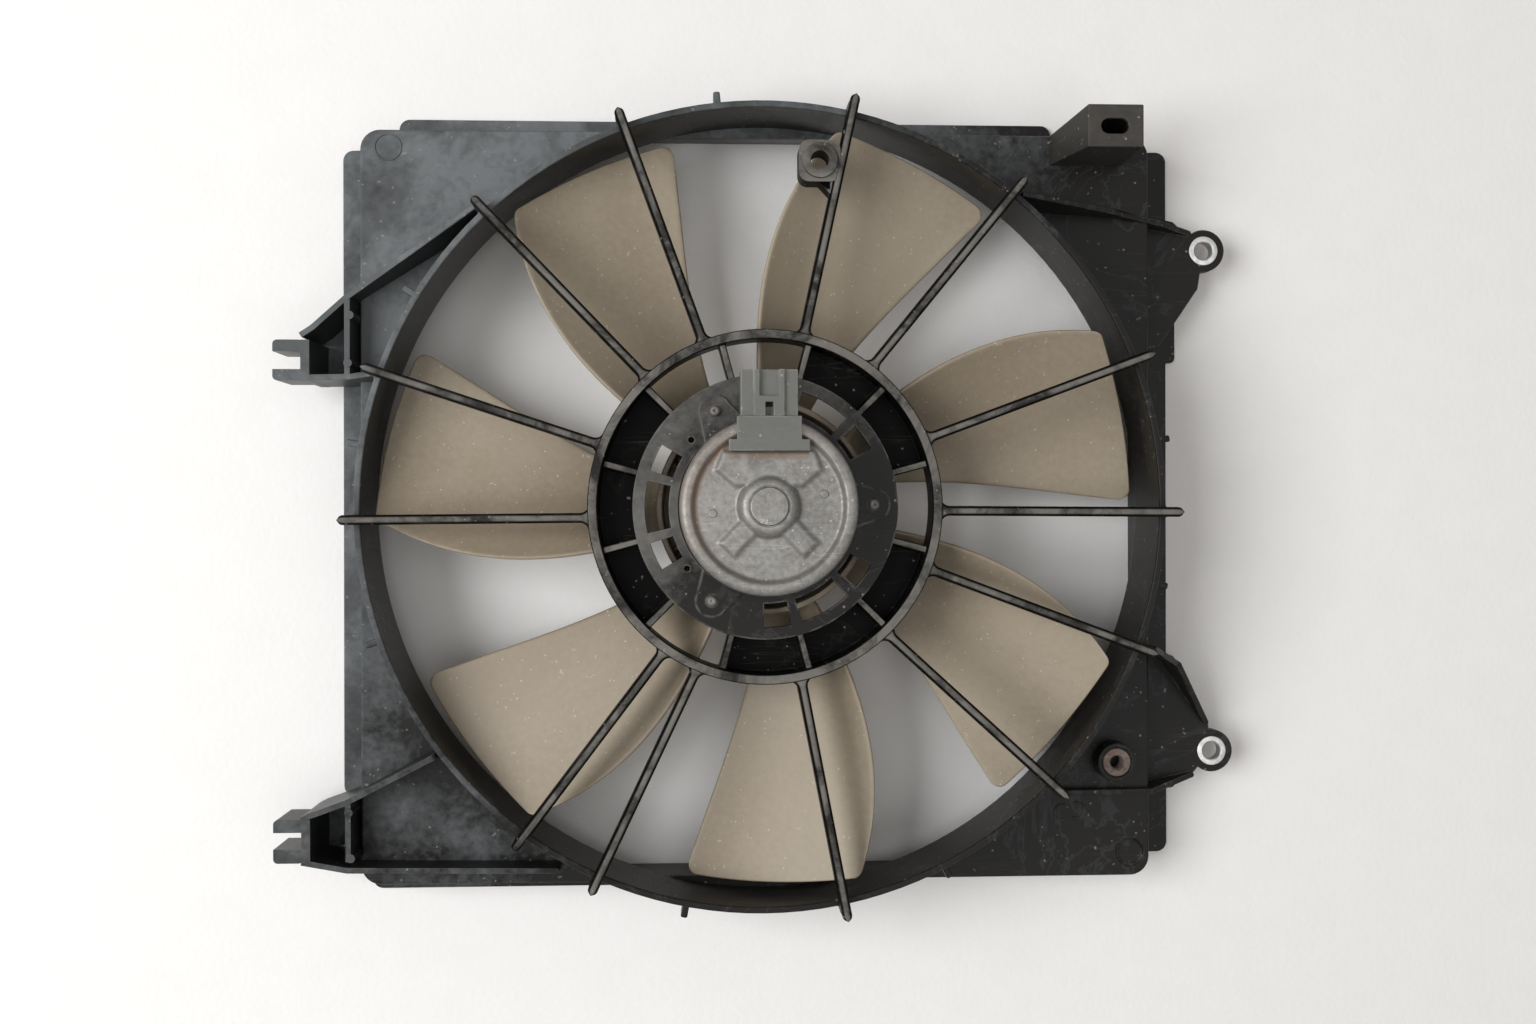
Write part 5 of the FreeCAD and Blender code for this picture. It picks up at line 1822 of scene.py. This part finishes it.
    def build(self) -> None:
        """Builds and dresses the wheel."""
        values = {"Count": self.count, "Material": BLADE.material()}
        blades = Trees.get("round_the_axis").run(self.blade(), values, "fan_blades_made")
        smooth(blades.data, self.corner)
        present(blades, Body.ROTOR, None, ["fan_blades"])
        SoftEdged(Body.ROTOR, Slot.FAN).show("fan_hub", 0.6 * MM, BLADE)


@dataclass
class Inside:
    """Pieces inside the motor and on the shaft's end."""

    spring_length: float = 10.8 * MM
    spring_turns: float = 8.0
    wire: float = 0.35 * MM
    plain: tuple[tuple[str, Finish], ...] = (
        ("rear_bush", BRONZE),
        ("front_bush", BRONZE),
        ("field_magnets", FERRITE),
        ("magnet_clips", GROUND),
        ("brush_card", BRUSH_CARD),
        ("brushes", CARBON),
        ("connector_terminals", TINNED),
        ("motor_shaft", GROUND),
        ("armature_core", SHEETS),
        ("armature_windings", COPPER),
        ("commutator", COPPER),
        ("drive_pin", GROUND),
    )

    def springs(self) -> None:
        """Makes the two wound brush springs in place of their plain tubes."""
        low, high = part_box("brush_springs")
        values = {
            "Turns": self.spring_turns,
            "Radius": (high.z - low.z) / 2 - self.wire,
            "Height": self.spring_length - 2 * self.wire,
            "Wire": self.wire,
            "Material": GROUND.material(),
        }
        seed = new_object("spring_seed", bpy.data.meshes.new("spring_seed"))
        coil = Trees.get("coil").run(seed, values, "brush_spring_coils")
        foot = Matrix.Translation((high.x - self.spring_length + self.wire, 0, (low.z + high.z) / 2))
        form = bmesh.new()
        form.from_mesh(coil.data)
        bmesh.ops.transform(form, matrix=foot @ Matrix.Rotation(math.pi / 2, 4, "Y"), verts=form.verts)
        twin = bmesh.ops.duplicate(form, geom=form.verts[:] + form.edges[:] + form.faces[:])
        moved = [v for v in twin["geom"] if isinstance(v, bmesh.types.BMVert)]
        bmesh.ops.rotate(form, verts=moved, cent=(0, 0, 0), matrix=Matrix.Rotation(math.pi, 3, "Z"))
        form.to_mesh(coil.data)
        form.free()
        coil.data.shade_smooth()
        present(coil, Body.SHROUD, None, ["brush_springs"])

    def build(self) -> None:
        """Dresses the plain nodes and builds what shows more detail."""
        for node, finish in self.plain:
            dress(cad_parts[node], finish)
        self.springs()
        for node in ("fan_nut", "fan_washer"):
            SoftEdged(Body.ROTOR, Slot.PLATED).show(node, 0.4 * MM, BRIGHT)
        LOG.info("inner pieces dressed: %d", len(self.plain))


def main() -> None:
    """Builds the studio and every piece in order."""
    logging.basicConfig(level=logging.INFO, format="%(name)s: %(message)s")
    for part in (Studio, Shroud, PlateMarks, Guard, Can, MotorFittings, Fixtures, FanWheel, Inside):
        part().build()
    low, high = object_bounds()
    boxes = {"cad": [list(CAD_BOX[0]), list(CAD_BOX[1])], "visual": [list(low), list(high)]}


if __name__ == "__main__":
    main()
